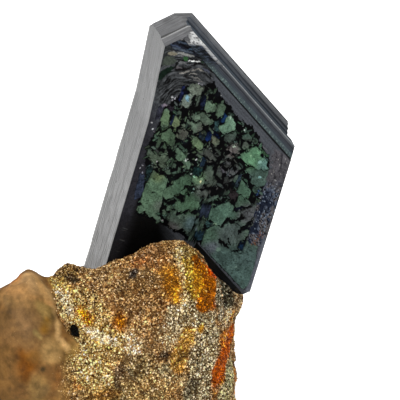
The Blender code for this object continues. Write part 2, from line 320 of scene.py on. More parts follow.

# The crest between the chamfer and the right cap, a painted highlight, and pale painted highlights in hatches
# on the chamfer: where they lie in mm, how strongly they show, and the noise that breaks them up, stretched
# along x, depth and height.
crest = {"depth": 1.5, "halfWidth": 0.16, "colour": (226, 228, 228), "share": (0.64, 0.7), "most": 1.0,
         "cells": (0.8, 1.2, 0.8), "detail": 2.0, "roughness": 0.6}
hatchHighlight = {"depth": 0.36, "halfWidth": 0.26, "colour": (112, 130, 126), "share": (0.54, 0.64), "most": 0.8,
          "cells": (2.6, 0.9, 2.6), "detail": 3.0, "roughness": 0.7}
capLift = (36.0, 50.0, 0.9, 1.35)    # two heights on the right cap, and its brightness at each

# The broken upper end of the chamfer, by height up the blade: a grey head with a painted white highlight over
# dark blue streaks, the highlight from some x on, and a painted pale highlight along the outer edge by depth
# and height.
brokenEnd = {
    "headFrom": (49.9, 50.5), "streaksFrom": (46.0, 47.6), "whiteFrom": (2.7, 3.9),
    "outerDepth": (1.1, 1.3), "outerFrom": (46.6, 47.6),
    "tornCells": (0.7, 1.6, 3.4), "chipCells": (0.9, 3.4, 2.6),
    "highlight": (206, 208, 208), "grey": (100, 101, 104), "greyDark": (66, 67, 70), "dark": (8, 10, 14),
    "blue": (58, 66, 80),
}


def depthColours(tree, depth, stops):
    # a colour ramp over the depth, with its stops in mm
    first, last = stops[0][0], stops[-1][0]
    ramped = node(tree, "ShaderNodeValToRGB", {"Fac": mapped(tree, depth, first, last)})
    elements = ramped.color_ramp.elements
    while len(elements) < len(stops):
        elements.new(0.5)
    for element, (place, colour) in zip(elements, stops):
        element.position = (place - first) / (last - first)
        element.color = (*linear(colour), 1.0)
    return ramped.outputs["Color"]


def nearDepth(tree, depth, place):
    # 1 at a depth, falling to 0 at its half width
    away = node(tree, "ShaderNodeMath", {0: depth}, operation="SUBTRACT")
    away.inputs[1].default_value = place["depth"]
    size = node(tree, "ShaderNodeMath", {0: away.outputs[0]}, operation="ABSOLUTE")
    return mapped(tree, size.outputs[0], 0.5 * place["halfWidth"], place["halfWidth"], 1.0, 0.0)


def highlightLines(tree, space, depth, colour):
    # the crest's painted highlight and the chamfer's pale painted hatches laid over a colour, each broken up
    # by its noise
    for line in (crest, hatchHighlight):
        broken = noise(tree, stretched(tree, space, line["cells"]), 1.0, line["detail"], line["roughness"])
        share = product(tree, nearDepth(tree, depth, line),
                        mapped(tree, broken, *line["share"], 0.0, line["most"]))
        colour = mixed(tree, share, colour, line["colour"])
    return colour


def brokenHead(tree, space, across, depth, height, colour):
    # the streaks, then the grey head with its painted white highlight broken into chips, then the painted
    # highlight along the outer edge
    torn = noise(tree, stretched(tree, space, brokenEnd["tornCells"]), 1.0, 3.0, 0.65)
    streaked = mixed(tree, mapped(tree, torn, 0.46, 0.6), brokenEnd["dark"], brokenEnd["blue"])
    colour = mixed(tree, mapped(tree, height, *brokenEnd["streaksFrom"], 0.0, 0.9), colour, streaked)
    chips = noise(tree, stretched(tree, space, brokenEnd["chipCells"]), 1.0, 3.0, 0.75)
    grey = mixed(tree, mapped(tree, chips, 0.44, 0.56), brokenEnd["greyDark"], brokenEnd["grey"])
    whiter = mapped(tree, across, *brokenEnd["whiteFrom"])
    chipped = product(tree, whiter, mapped(tree, chips, 0.42, 0.54, 0.1, 1.0))
    head = mixed(tree, chipped, grey, brokenEnd["highlight"])
    colour = mixed(tree, mapped(tree, height, *brokenEnd["headFrom"]), colour, head)
    outer = mapped(tree, depth, *brokenEnd["outerDepth"], 0.0, 0.55)
    outer = product(tree, outer, mapped(tree, height, *brokenEnd["outerFrom"]))
    outer = product(tree, outer, mapped(tree, chips, 0.4, 0.52, 0.15, 1.0))
    return mixed(tree, outer, colour, brokenEnd["highlight"])


def sideFinish(name, look):
    # the colours by depth, wavering a little, times streaks that follow the growth sheets
    material, tree, shader = newFinish(name, look["specular"], look["roughness"])
    space = bladeSpace(tree)
    across, depth, height = node(tree, "ShaderNodeSeparateXYZ", {"Vector": space}).outputs
    smudges = noise(tree, space, 0.5, 4.0, 0.6)
    streaks = noise(tree, stretched(tree, space, (look["along"], look["across"], look["along"])),
                    1.0, 6.0, 0.7)
    low, high = look["streaks"]
    waver = 0.3 * (high - 1.0)
    shade = product(tree, mapped(tree, streaks, 0.34, 0.66, low, high),
                    mapped(tree, smudges, 0.35, 0.65, 1.0 - waver, 1.0 + waver))
    colour = shadedBy(tree, depthColours(tree, depth, look["colours"]), shade)
    if name in ("chamfer", "capRight"):
        colour = highlightLines(tree, space, depth, colour)
    if name == "chamfer":
        colour = brokenHead(tree, space, across, depth, height, colour)
    if name == "capRight":
        colour = shadedBy(tree, colour, mapped(tree, height, *capLift))
    tree.links.new(colour, shader.inputs["Base Color"])
    gloss = mapped(tree, smudges, 0.3, 0.7, look["roughness"] * 0.75, look["roughness"] * 1.35)
    tree.links.new(gloss, shader.inputs["Roughness"])
    fine = noise(tree, stretched(tree, space, (look["along"], look["across"] * 3.0, look["along"])), 1.0)
    bumped(tree, shader, fine, 0.03 * mm)
    return material


# The blade's body

def sideLines(insets):
    # each side's line moved inwards by its inset, for every sheet: start points and one direction a side
    ends = np.array([row[:2] for row in bladeSides.values()])
    along = ends[:, 1] - ends[:, 0]
    along /= np.linalg.norm(along, axis=1, keepdims=True)
    inwards = np.stack([-along[:, 1], along[:, 0]], 1)
    return ends[None, :, 0] + insets[:, :, None] * inwards[None], along, inwards


def slabInsets(depths):
    # how far each side lies inside its line at the given depths, read between the growth slabs
    slabDepths, *rows = np.array(growthSlabs).T
    rows = dict(zip(slabSides, rows))
    return np.stack([np.interp(depths, slabDepths, rows.get(side, 0.0 * slabDepths))
                     for side in bladeSides], 1)


def buildBody():
    # outline corners are the crossings of neighbouring side lines; the outline is carried back through
    # the sheets, each of which steps in or out by a little, and points along a side waver with noise
    rng = np.random.default_rng(blade["seed"])
    cuts = np.cumsum(rng.uniform(0.35, 1.65, blade["sheets"]))
    cuts = blade["firstDepth"] + (blade["thickness"] - blade["firstDepth"]) * cuts / cuts[-1]
    starts = np.concatenate([[blade["firstDepth"]], cuts[:-1]])
    depths = np.stack([starts, cuts - blade["riser"]], 1).ravel()
    depths[-1] = blade["thickness"]
    step = np.repeat(rng.uniform(0.0, 1.0, (blade["sheets"], len(bladeSides))), 2, axis=0)
    insets = slabInsets(depths) + blade["ledge"] * step
    lineStarts, along, inwards = sideLines(insets)
    nextStarts, nextAlong = np.roll(lineStarts, -1, axis=1), np.roll(along, -1, axis=0)
    turn = along[:, 0] * nextAlong[:, 1] - along[:, 1] * nextAlong[:, 0]
    between = nextStarts - lineStarts
    reach = (between[..., 0] * nextAlong[:, 1] - between[..., 1] * nextAlong[:, 0]) / turn
    corners = lineStarts + reach[..., None] * along           # where side k ends, for each sheet
    rings, owners, looks = [], [], []
    (cellAlong, cellAcross), seed = blade["waver"]
    for k, (side, (_, _, count, look)) in enumerate(bladeSides.items()):
        share = np.arange(count) / count
        start, end = corners[:, k - 1], corners[:, k]
        line = start[:, None] + (end - start)[:, None] * share[None, :, None]
        length = np.linalg.norm(end - start, axis=1)[:, None] * share[None]
        window = np.clip(np.minimum(share, 1.0 - share) * count / 2.0, 0.0, 1.0)
        sheetDepth = np.repeat(cuts, 2)[:, None] + 0.0 * length
        waver = flatNoise(length + 7.0 * k, sheetDepth, cellAlong, cellAcross, seed + k)
        line = line + (blade["ledge"] * ramp(waver, 0.0, 1.0) * window)[..., None] * inwards[k]
        rings.append(line)
        owners += [side] * count
        looks += [look] * count
    outline = np.concatenate(rings, axis=1)
    rows, count = outline.shape[:2]
    points = bladeToWorld(outline[..., 0], depths[:, None], outline[..., 1])
    index = np.arange(rows * count).reshape(rows, count)
    a, b = index[:-1], np.roll(index, -1, axis=1)[:-1]
    c, d = np.roll(index, -1, axis=1)[1:], index[1:]
    quads = np.stack([a, b, c, d], -1).reshape(-1, 4)
    body = meshPiece("bladeBody", points, quads, polygon=[index[0], index[-1]], smooth=False)
    for name, look in sideLooks.items():
        body.data.materials.append(sideFinish(name, look))
    order = list(sideLooks)
    chamfered = ((depths[:-1, None] < blade["chamferDepth"])
                 & np.isin(owners, ("capRight", "right", "top"))[None])
    slot = np.where(chamfered, order.index("chamfer"), [order.index(look) for look in looks]).ravel()
    slot = np.concatenate([slot, [order.index("foot")] * 2])
    body.data.polygons.foreach_set("material_index", slot.astype(np.int32))
    body.data.update()
    return body


# The front face: a thin sheet whose level and colour are worked out point by point.
front = {
    "columns": 311,
    "rows": 540,
    "strips": 2,                      # pieces that the sheet is parted into
    "insets": {"right": 0.5, "capRight": 2.3, "capLeft": 0.0, "top": 1.0},
    "bottom": ((-2.0, -4.0), (15.2, -4.0), (16.9, 8.45), (30.1, -1.85), (31.2, -1.0), (33.0, -1.0)),
    "under": 0.5,                     # mm, how far the sheet reaches into the body
    "plateLevel": 0.2,                # mm, the highest plate above the glassy level
    "gapLevel": -0.08,                # mm, the bottom of the gaps
    "plateShade": 0.72,               # brightness of all plates together
}
faceTones = {
    "ground": (6, 6, 6), "groundLeft": (24, 24, 27), "leftStrip": (34, 34, 39), "rim": (61, 64, 69),
    "fan": (44, 46, 48), "plates": (76, 94, 82), "plateGap": (4, 5, 6), "gaps": (2, 2, 3),
    "speckle": (60, 67, 80), "speckleDark": (22, 28, 42), "specklePale": (84, 82, 84),
    "speckleGlint": (104, 116, 130), "speckleHole": (8, 11, 20), "brown": (74, 73, 77),
    "brownGlint": (120, 120, 118), "brownStreak": (14, 15, 20), "rust": (100, 62, 38), "bevel": (84, 88, 96),
    "edgeLine": (10, 11, 12), "back": (30, 34, 37), "terrace": (14, 18, 20), "backPlates": (70, 90, 78),
}


def lineHeight(side, inset, x):
    # height of a side's line, moved inwards, above the places x
    (x0, z0), (x1, z1) = bladeSides[side][:2]
    shift = np.array((z0 - z1, x1 - x0)) * inset / math.hypot(x1 - x0, z1 - z0)
    (x0, z0), (x1, z1) = np.array(bladeSides[side][:2]) + shift
    return z0 + (x - x0) * (z1 - z0) / (x1 - x0)


def faceGrid(columns, rows, insets, bottomLine):
    # x runs between the two long edges, which lean with height; z runs from the bottom line to the cap
    share = np.linspace(0.0, 1.0, columns)[None]
    rise = np.linspace(0.0, 1.0, rows)[:, None]

    def across(z):
        left = np.interp(z, *leftEdge)
        right = blade["width"] - insets["right"] - 0.6 * (z - blade["shoulder"]) / (blade["shoulder"] + 1.5)
        return left + share * (right - left)

    top = np.full_like(share, 40.0)
    bottom = np.full_like(share, 0.0)
    for _ in range(12):
        x = across(top)
        top = np.min([lineHeight(side, insets[side], x) for side in ("capRight", "capLeft", "top")], axis=0)
        bottom = np.interp(across(bottom), *np.array(bottomLine).T)
    z = bottom + (top - bottom) * rise
    return across(z), z


def sheetPiece(name, x, z, level, wallDepth, outward):
    # the grid as a closed thin sheet: its points lifted by the level, walls down its rim, one flat underside
    rows, columns = x.shape
    topPoints = bladeToWorld(x, outward[0] + outward[1] * level, z)
    rim = np.concatenate([np.arange(columns), columns * np.arange(1, rows) + columns - 1,
                          columns * (rows - 1) + np.arange(columns - 2, -1, -1),
                          columns * np.arange(rows - 2, 0, -1)])
    lowPoints = bladeToWorld(x.ravel()[rim], outward[0] - outward[1] * wallDepth, z.ravel()[rim])
    index = np.arange(rows * columns).reshape(rows, columns)
    quads = np.stack([index[:-1, :-1], index[:-1, 1:], index[1:, 1:], index[1:, :-1]], -1).reshape(-1, 4)
    low = rows * columns + np.arange(len(rim))
    walls = np.stack([np.roll(rim, -1), rim, low, np.roll(low, -1)], 1)
    quads = np.concatenate([quads, walls])
    return meshPiece(name, np.concatenate([topPoints, lowPoints]), quads, polygon=[low[::-1]]), rim


def polygonDepth(x, z, outline):
    # how far points lie inside an outline: the distance to its nearest edge, negative outside
    corners = np.array(outline)
    inside = np.zeros(x.shape, bool)
    nearest = np.full(x.shape, 1e9)
    for (x0, z0), (x1, z1) in zip(corners, np.roll(corners, -1, axis=0)):
        dx, dz = x1 - x0, z1 - z0
        share = np.clip(((x - x0) * dx + (z - z0) * dz) / max(dx * dx + dz * dz, 1e-9), 0.0, 1.0)
        nearest = np.minimum(nearest, (x - x0 - share * dx) ** 2 + (z - z0 - share * dz) ** 2)
        if z0 != z1:
            crosses = (z0 > z) != (z1 > z)
            inside ^= crosses & (x < x0 + (z - z0) * dx / dz)
    return np.where(inside, 1.0, -1.0) * np.sqrt(nearest)


def strokeDepth(x, z, path, halfWidth):
    # how far points lie inside a stroke: its half width, tapered to the ends, less the distance to its path
    path = np.array(path)
    lengths = np.linalg.norm(np.diff(path, axis=0), axis=1)
    total, gone = lengths.sum(), 0.0
    best = np.full(x.shape, -1e9)
    for (x0, z0), (x1, z1), length in zip(path, path[1:], lengths):
        dx, dz = x1 - x0, z1 - z0
        share = np.clip(((x - x0) * dx + (z - z0) * dz) / (dx * dx + dz * dz), 0.0, 1.0)
        away = np.hypot(x - x0 - share * dx, z - z0 - share * dz)
        place = (gone + share * length) / total
        best = np.maximum(best, halfWidth * (0.35 + 0.65 * np.sin(math.pi * place) ** 0.5) - away)
        gone += length
    return best


def raggedOutline(outline, run, jag, rng):
    # cuts each edge into short runs and walks every run as two legs, one along each of the lattice headings
    # on the edge's two sides, in chance order; shifts each run sideways by chance
    angles = np.radians(shards["headings"])
    headings = np.stack([np.cos(angles), np.sin(angles)], 1)
    headings = np.concatenate([headings, -headings])
    corners = np.array(outline)
    made = []
    for start, end in zip(corners, np.roll(corners, -1, axis=0)):
        along = end - start
        length = np.linalg.norm(along)
        runs = max(1, round(length / run))
        sideways = np.array((along[1], -along[0])) / length
        turns = np.arctan2(headings @ sideways, headings @ along / length)
        left = headings[np.argmin(np.where(turns >= 0.0, turns, 9.0))]
        right = headings[np.argmin(np.where(turns < 0.0, -turns, 9.0))]
        leftLeg = np.linalg.solve(np.stack([left, right], 1), along)[0] * left
        inner = np.arange(1, runs) + rng.uniform(-0.3, 0.3, runs - 1)
        shares = np.concatenate([[0.0], inner / runs, [1.0]])
        for low, high in zip(shares, shares[1:]):
            shift = rng.uniform(-jag, jag) * sideways
            leg = leftLeg if rng.uniform() < 0.5 else along - leftLeg
            begin = start + low * along + shift
            made += [begin, begin + (high - low) * leg, start + high * along + shift]
    return np.array(made)


def obliqueCells(x, z, width, height, seed):
    # cells on a slanting lattice: one axis runs up the blade, the other falls along its right cap;
    # the distance is the larger of the two axes' distances and a little of the smaller, so the cells
    # are angular plates. Gives two random numbers for each point's cell.
    p = x / capSlope[0]
    q = z - p * capSlope[1]
    p, q = p / width, q / height
    side, jitter = 61, 0.42
    rng = np.random.default_rng(seed)
    shifts = rng.uniform(-jitter, jitter, (2, side, side))
    lots = rng.uniform(0.0, 1.0, (2, side, side))
    baseP, baseQ = np.floor(p).astype(int), np.floor(q).astype(int)
    first = np.full(x.shape, np.inf)
    lotA, lotB = np.zeros(x.shape), np.zeros(x.shape)
    for stepP, stepQ in np.ndindex(3, 3):
        atP, atQ = baseP + stepP - 1, baseQ + stepQ - 1
        cell = atP % side, atQ % side
        awayP = np.abs(p - (atP + 0.5 + shifts[0][cell])) * width
        awayQ = np.abs(q - (atQ + 0.5 + shifts[1][cell])) * height
        away = np.maximum(awayP, awayQ) + 0.25 * np.minimum(awayP, awayQ)
        closer = away < first
        lotA = np.where(closer, lots[0][cell], lotA)
        lotB = np.where(closer, lots[1][cell], lotB)
        first = np.where(closer, away, first)
    return lotA, lotB


def blendedPatches(places, patches, background, backgroundWeight, sharpness=2.0):
    # each patch pulls the colour towards its own, by a bell curve of the distance over its reach
    total = np.full((len(places), 1), backgroundWeight)
    colour = backgroundWeight * background
    for *centre, reach, red, green, blue in patches:
        away = np.linalg.norm(places - np.array(centre) / 10.0, axis=1) / (reach / 10.0)
        weight = np.exp(-np.clip(away, 0.0, 6.0) ** 2 * sharpness)[:, None]
        total = total + weight
        colour = colour + weight * linear((red, green, blue))
    return colour / total


# Plates of the front face: brightness, level from 0 to 1, and the outline as x and z in turn, in tenths of
# a millimetre; later ones lie on top.
plates = {
    "leftTall": (1.05, 0.8, (36, 226, 46, 222, 52, 217, 62, 219, 70, 214, 73, 196, 72, 170, 75, 162,
        73, 142, 66, 134, 76, 129, 88, 120, 86, 116, 70, 122, 54, 127, 46, 136, 40, 132, 31, 131, 27, 142,
        34, 146, 29, 154, 30, 195, 37, 199, 34, 210)),
    "leftSlant": (0.85, 0.7, (83, 200, 85, 212, 94, 220, 104, 227, 111, 229, 121, 222, 120, 214, 114, 203,
        108, 204, 104, 193, 99, 184, 88, 172, 80, 167, 71, 173, 71, 186, 77, 195)),
    "middleTop": (1.05, 0.6, (112, 230, 126, 229, 134, 226, 142, 229, 147, 216, 145, 205, 138, 202,
        130, 207, 126, 213, 119, 216, 121, 223)),
    "middleWedge": (0.9, 0.8, (135, 197, 141, 202, 154, 204, 162, 196, 159, 186, 152, 191, 149, 180,
        150, 170, 153, 164, 150, 154, 140, 152, 132, 156, 124, 150, 110, 147, 102, 153, 102, 166, 107, 171,
        112, 164, 117, 169, 119, 185, 126, 182, 130, 191)),
    "middleBit": (0.95, 0.5, (105, 192, 112, 201, 117, 195, 115, 186, 108, 185)),
    "slice": (0.9, 0.5, (86, 152, 92, 158, 101, 152, 93, 146, 87, 145)),
    "sliceLow": (0.75, 0.4, (79, 142, 84, 149, 88, 142, 87, 133, 81, 134)),
    "middleLow": (0.95, 0.9, (94, 134, 96, 141, 102, 147, 109, 149, 110, 137, 124, 143, 130, 142, 133, 150,
        143, 146, 150, 145, 152, 130, 150, 110, 146, 100, 140, 98, 134, 109, 122, 105, 108, 108, 99, 115,
        97, 126)),
    "beadHigh": (0.95, 0.5, (153, 134, 160, 138, 164, 128, 159, 122, 153, 128)),
    "beadRight": (0.7, 0.4, (165, 130, 173, 128, 176, 119, 170, 113, 166, 120)),
    "beadLow": (0.85, 0.5, (155, 116, 166, 117, 167, 108, 158, 107)),
    "beadFoot": (0.6, 0.4, (148, 104, 154, 108, 159, 100, 153, 95)),
    "beadBright": (1.5, 0.4, (149, 94, 154, 96, 155, 89, 150, 88)),
    "rightSheet": (0.92, 1.0, (180, 80, 180, 116, 187, 119, 190, 124, 196, 129, 206, 127, 210, 124,
        215, 128, 216, 136, 222, 140, 230, 137, 236, 141, 244, 137, 249, 130, 249, 115, 251, 117, 256, 124,
        262, 129, 269, 129, 269, 116, 266, 106, 259, 104, 256, 90, 264, 79, 270, 79, 271, 105, 280, 102,
        292, 101, 299, 90, 303, 74, 305, 40, 306, 6, 295, -5)),
    "rightGrey": (0.9, 0.7, (238, 166, 246, 173, 256, 178, 260, 189, 268, 190, 269, 160, 266, 150, 258, 142,
        251, 134, 247, 137, 234, 144, 238, 149, 251, 153, 252, 159, 243, 162)),
    "rightHead": (1.0, 0.9, (177, 169, 185, 167, 188, 174, 198, 180, 209, 185, 218, 179, 224, 176, 223, 164,
        230, 164, 239, 167, 242, 159, 237, 150, 229, 144, 222, 151, 218, 149, 216, 140, 210, 135, 208, 129,
        198, 128, 190, 135, 178, 136)),
    "rightUpper": (0.85, 0.5, (225, 200, 234, 202, 242, 198, 252, 192, 259, 186, 252, 182, 236, 179,
        227, 176, 224, 186)),
    "spear": (0.95, 0.8, (219, 238, 224, 236, 232, 228, 241, 222, 248, 214, 246, 203, 240, 200, 232, 204,
        225, 204, 220, 214)),
    "spearSide": (0.8, 0.5, (203, 242, 209, 247, 211, 236, 208, 228, 203, 232)),
    "spearFar": (0.6, 0.5, (249, 228, 259, 228, 262, 216, 256, 212, 250, 218)),
    "paleBar": (0.95, 0.5, (162, 180, 170, 188, 182, 196, 185, 189, 174, 181, 166, 178)),
    "midBlock": (0.6, 0.4, (193, 210, 201, 210, 204, 204, 200, 198, 194, 199)),
    "shoulderLow": (0.85, 0.7, (224, 264, 232, 269, 244, 265, 260, 268, 270, 270, 273, 254, 272, 238,
        266, 229, 256, 226, 246, 230, 240, 235, 240, 246, 232, 254)),
    "shoulder": (1.08, 1.0, (202, 292, 209, 299, 219, 303, 221, 310, 228, 315, 238, 309, 243, 300, 249, 292,
        259, 288, 262, 280, 269, 272, 258, 265, 246, 263, 232, 272, 224, 273, 212, 278, 205, 284)),
    "disc": (1.25, 1.0, (142, 346, 149, 349, 150, 359, 154, 368, 159, 369, 166, 364, 173, 356, 175, 346,
        172, 340, 164, 334, 154, 330, 146, 334, 142, 339)),
    "discLow": (0.8, 0.6, (159, 320, 164, 331, 174, 337, 180, 336, 182, 326, 178, 318, 168, 315)),
    "palePlate": (0.85, 0.5, (175, 308, 180, 312, 189, 310, 196, 306, 200, 302, 196, 294, 190, 290,
        182, 292, 176, 298)),
    "discRight": (0.8, 0.6, (192, 334, 202, 338, 210, 336, 216, 325, 208, 325, 202, 323, 193, 328)),
    "headRow": (0.8, 0.6, (198, 320, 206, 322, 213, 316, 215, 309, 206, 304, 200, 308)),
    "headTip": (0.6, 0.4, (219, 328, 226, 330, 229, 322, 224, 318, 219, 322)),
    "headTall": (0.9, 0.4, (194, 352, 198, 350, 199, 339, 194, 339)),
    "hatchet": (0.9, 0.8, (79, 354, 83, 361, 93, 362, 100, 367, 110, 362, 123, 358, 129, 352, 120, 346,
        106, 345, 94, 347, 85, 349)),
    "hatchetLow": (0.85, 0.6, (74, 348, 84, 345, 106, 343, 110, 334, 106, 326, 98, 320, 93, 318, 90, 326,
        86, 334, 74, 342)),
    "slip": (0.95, 0.8, (22, 359, 27, 363, 33, 358, 38, 348, 39, 334, 36, 324, 30, 321, 24, 326, 21, 334)),
    "bean": (0.95, 0.7, (48, 350, 54, 346, 62, 340, 60, 329, 57, 322, 52, 326, 47, 334)),
    "egg": (0.8, 0.7, (63, 326, 70, 329, 79, 324, 84, 314, 81, 304, 73, 301, 66, 310, 62, 318)),
    "broadLeft": (0.95, 0.8, (32, 310, 40, 319, 50, 319, 60, 310, 63, 298, 62, 290, 58, 285, 50, 289,
        40, 292, 32, 299)),
    "broadTail": (0.6, 0.4, (27, 300, 32, 296, 35, 286, 31, 276, 27, 278)),
    "strip": (0.7, 0.4, (42, 289, 49, 286, 52, 274, 48, 269, 42, 280)),
    "rowLeft": (0.9, 0.7, (12, 274, 20, 272, 25, 266, 34, 263, 44, 260, 50, 264, 58, 262, 59, 252, 54, 246,
        46, 243, 38, 245, 32, 243, 24, 250, 18, 256)),
    "rowUpper": (0.95, 0.7, (64, 282, 72, 284, 76, 279, 84, 276, 92, 269, 94, 262, 88, 254, 82, 254,
        72, 259, 74, 268, 69, 273)),
    "rowRight": (1.0, 0.6, (92, 262, 98, 260, 104, 260, 111, 252, 109, 244, 103, 243, 98, 250, 90, 253)),
    "rowLow": (0.75, 0.5, (62, 236, 70, 235, 74, 227, 70, 221, 61, 228)),
    "rowPin": (0.85, 0.5, (86, 244, 90, 242, 91, 228, 86, 230)),
    "rowChip": (0.6, 0.4, (72, 249, 80, 247, 80, 240, 73, 242)),
    "rowSplinter": (0.6, 0.4, (43, 240, 56, 243, 62, 239, 54, 235)),
    "bar": (1.05, 0.8, (96, 310, 102, 314, 110, 307, 120, 301, 123, 292, 116, 286, 106, 292, 99, 302)),
    "barTail": (0.7, 0.5, (112, 288, 126, 284, 136, 280, 134, 274, 120, 278, 110, 284)),
    "barGrey": (0.75, 0.6, (126, 290, 134, 290, 148, 282, 158, 272, 156, 266, 146, 269, 134, 276,
        126, 282)),
    "kite": (0.9, 0.7, (132, 324, 140, 321, 152, 313, 154, 307, 146, 301, 136, 308, 132, 316)),
    "kiteTail": (0.9, 0.6, (120, 340, 129, 334, 134, 325, 130, 326, 122, 334)),
    "kiteLow": (0.6, 0.4, (146, 298, 158, 290, 166, 284, 164, 280, 154, 287, 146, 294)),
    "fin": (1.0, 0.8, (141, 254, 148, 256, 154, 254, 160, 246, 164, 234, 166, 224, 162, 216, 154, 220,
        146, 226, 140, 234, 142, 244)),
    "finGrey": (0.75, 0.6, (163, 233, 170, 228, 172, 216, 164, 213, 166, 224)),
    "upper": (1.08, 0.8, (101, 384, 104, 394, 114, 388, 122, 386, 124, 376, 118, 371, 114, 373, 106, 369,
        101, 374)),
    "upperRight": (1.0, 0.7, (126, 386, 131, 393, 137, 392, 143, 382, 142, 370, 134, 361, 127, 365,
        126, 374)),
    "upperLeft": (0.85, 0.7, (50, 384, 55, 398, 66, 404, 71, 394, 69, 380, 62, 370, 53, 373)),
    "upperHigh": (0.95, 0.6, (60, 422, 76, 424, 88, 416, 86, 404, 74, 402, 62, 406, 58, 414)),
    "upperStrip": (0.6, 0.5, (81, 400, 86, 402, 87, 380, 82, 374)),
    "upperChip": (0.7, 0.5, (50, 364, 58, 360, 60, 352, 54, 354)),
    "brownWaist": (0.7, 0.5, (164, 252, 174, 250, 178, 240, 174, 234, 166, 240)),
    "brownArc": (0.9, 0.5, (172, 281, 184, 285, 191, 280, 184, 278, 174, 276)),
    "brownChip": (0.7, 0.4, (180, 274, 186, 272, 188, 262, 180, 262, 177, 268)),
    "brownRight": (0.7, 0.4, (200, 271, 208, 268, 214, 261, 204, 258, 199, 264)),
    "paleChip": (0.95, 0.5, (192, 256, 198, 256, 203, 250, 199, 244, 192, 246)),
    "umberChip": (0.6, 0.4, (184, 235, 193, 237, 194, 224, 186, 222)),
}

# Where the mosaic of plates lies on the face, and its two places without plates.
mosaicEdge = inMm((26, 128, 50, 122, 86, 112, 110, 102, 140, 94, 146, 84, 175, 83, 296, -8, 306, 4, 300, 86,
    272, 80, 272, 270, 262, 294, 246, 312, 228, 336, 206, 358, 184, 363, 166, 376, 148, 392, 132, 402,
    116, 420, 104, 433, 88, 424, 52, 416, 42, 396, 28, 372, 19, 364, 19, 318, 9, 276, 12, 256, 20, 234,
    26, 200))

# Small splintered plates between the named ones, laid by chance inside the mosaic.
shards = {
    "count": 820,
    "long": (0.18, 0.8),              # mm, half lengths
    "short": (0.12, 0.36),
    "headings": (91.0, -36.0, 38.0),   # degrees, the lattice that the splinters follow
    "gap": 0.07,                       # mm of black round each splinter
    "bright": (0.25, 0.95, 1.2),       # least brightness, range, and the power of the chance that spreads it
    "seed": 77,
}

# Glassy panes that lie open between the plates: colour, level, outline; their blue colours are painted blue
# glints.
darkPanes = {
    "slatePanel": ((32, 40, 54), 0.25, (156, 169, 177, 169, 177, 146, 172, 141, 158, 144)),
    "tealColumn": ((28, 46, 46), 0.3, (22, 230, 36, 230, 34, 204, 30, 199, 25, 214)),
    "blueStrip": ((38, 45, 60), 0.3, (12, 216, 20, 214, 27, 202, 29, 186, 28, 162, 17, 156, 13, 176)),
    "tealFoot": ((26, 44, 54), 0.2, (163, 112, 179, 112, 179, 92, 169, 90, 162, 102)),
    "tealWedge": ((42, 64, 64), 0.3, (177, 137, 190, 134, 189, 125, 180, 121, 175, 128)),
    "bluePocket": ((14, 34, 56), 0.1, (258, 103, 262, 99, 270, 102, 270, 79, 264, 82, 256, 89)),
    "blueSpine": ((14, 22, 52), 0.1, (268, 190, 271, 190, 271, 160, 268, 160)),
    "blueHigh": ((42, 62, 96), 0.4, (260, 220, 266, 219, 265, 210, 261, 208)),
    "blueDiscEdge": ((20, 44, 78), 0.4, (144, 374, 152, 369, 149, 354, 144, 352, 142, 362)),
    "blueCut": ((12, 30, 66), 0.2, (122, 328, 132, 326, 132, 310, 126, 308, 121, 318)),
    "blueDart": ((12, 32, 70), 0.3, (134, 328, 140, 329, 151, 320, 148, 316, 140, 320)),
    "tealDart": ((40, 62, 64), 0.4, (130, 354, 136, 356, 143, 339, 141, 330, 135, 332)),
    "blueBean": ((24, 34, 58), 0.3, (42, 352, 48, 352, 49, 330, 44, 329, 42, 342)),
    "blueUpper": ((24, 30, 62), 0.4, (45, 414, 50, 414, 51, 396, 48, 382, 43, 386, 44, 398)),
    "blueHollow": ((20, 28, 48), 0.2, (90, 402, 99, 400, 99, 374, 92, 370, 89, 384)),
    "tealMiddle": ((20, 42, 42), 0.2, (120, 250, 136, 250, 134, 232, 122, 230, 116, 240)),
    "blueMiddle": ((24, 38, 52), 0.2, (126, 270, 138, 266, 136, 254, 128, 252)),
    "tealBar": ((34, 46, 54), 0.3, (106, 326, 116, 323, 120, 310, 112, 308, 105, 316)),
    "slateSpear": ((38, 50, 58), 0.3, (211, 244, 218, 250, 220, 224, 214, 218, 210, 226)),
    "umberBlock": ((32, 28, 30), 0.3, (203, 217, 216, 214, 224, 204, 222, 186, 210, 188, 204, 198)),
    "violetLeft": ((44, 45, 56), 0.2, (9, 362, 20, 364, 21, 336, 11, 334)),
    "umberHigh": ((40, 36, 44), 0.3, (28, 372, 40, 370, 42, 362, 30, 362)),
}

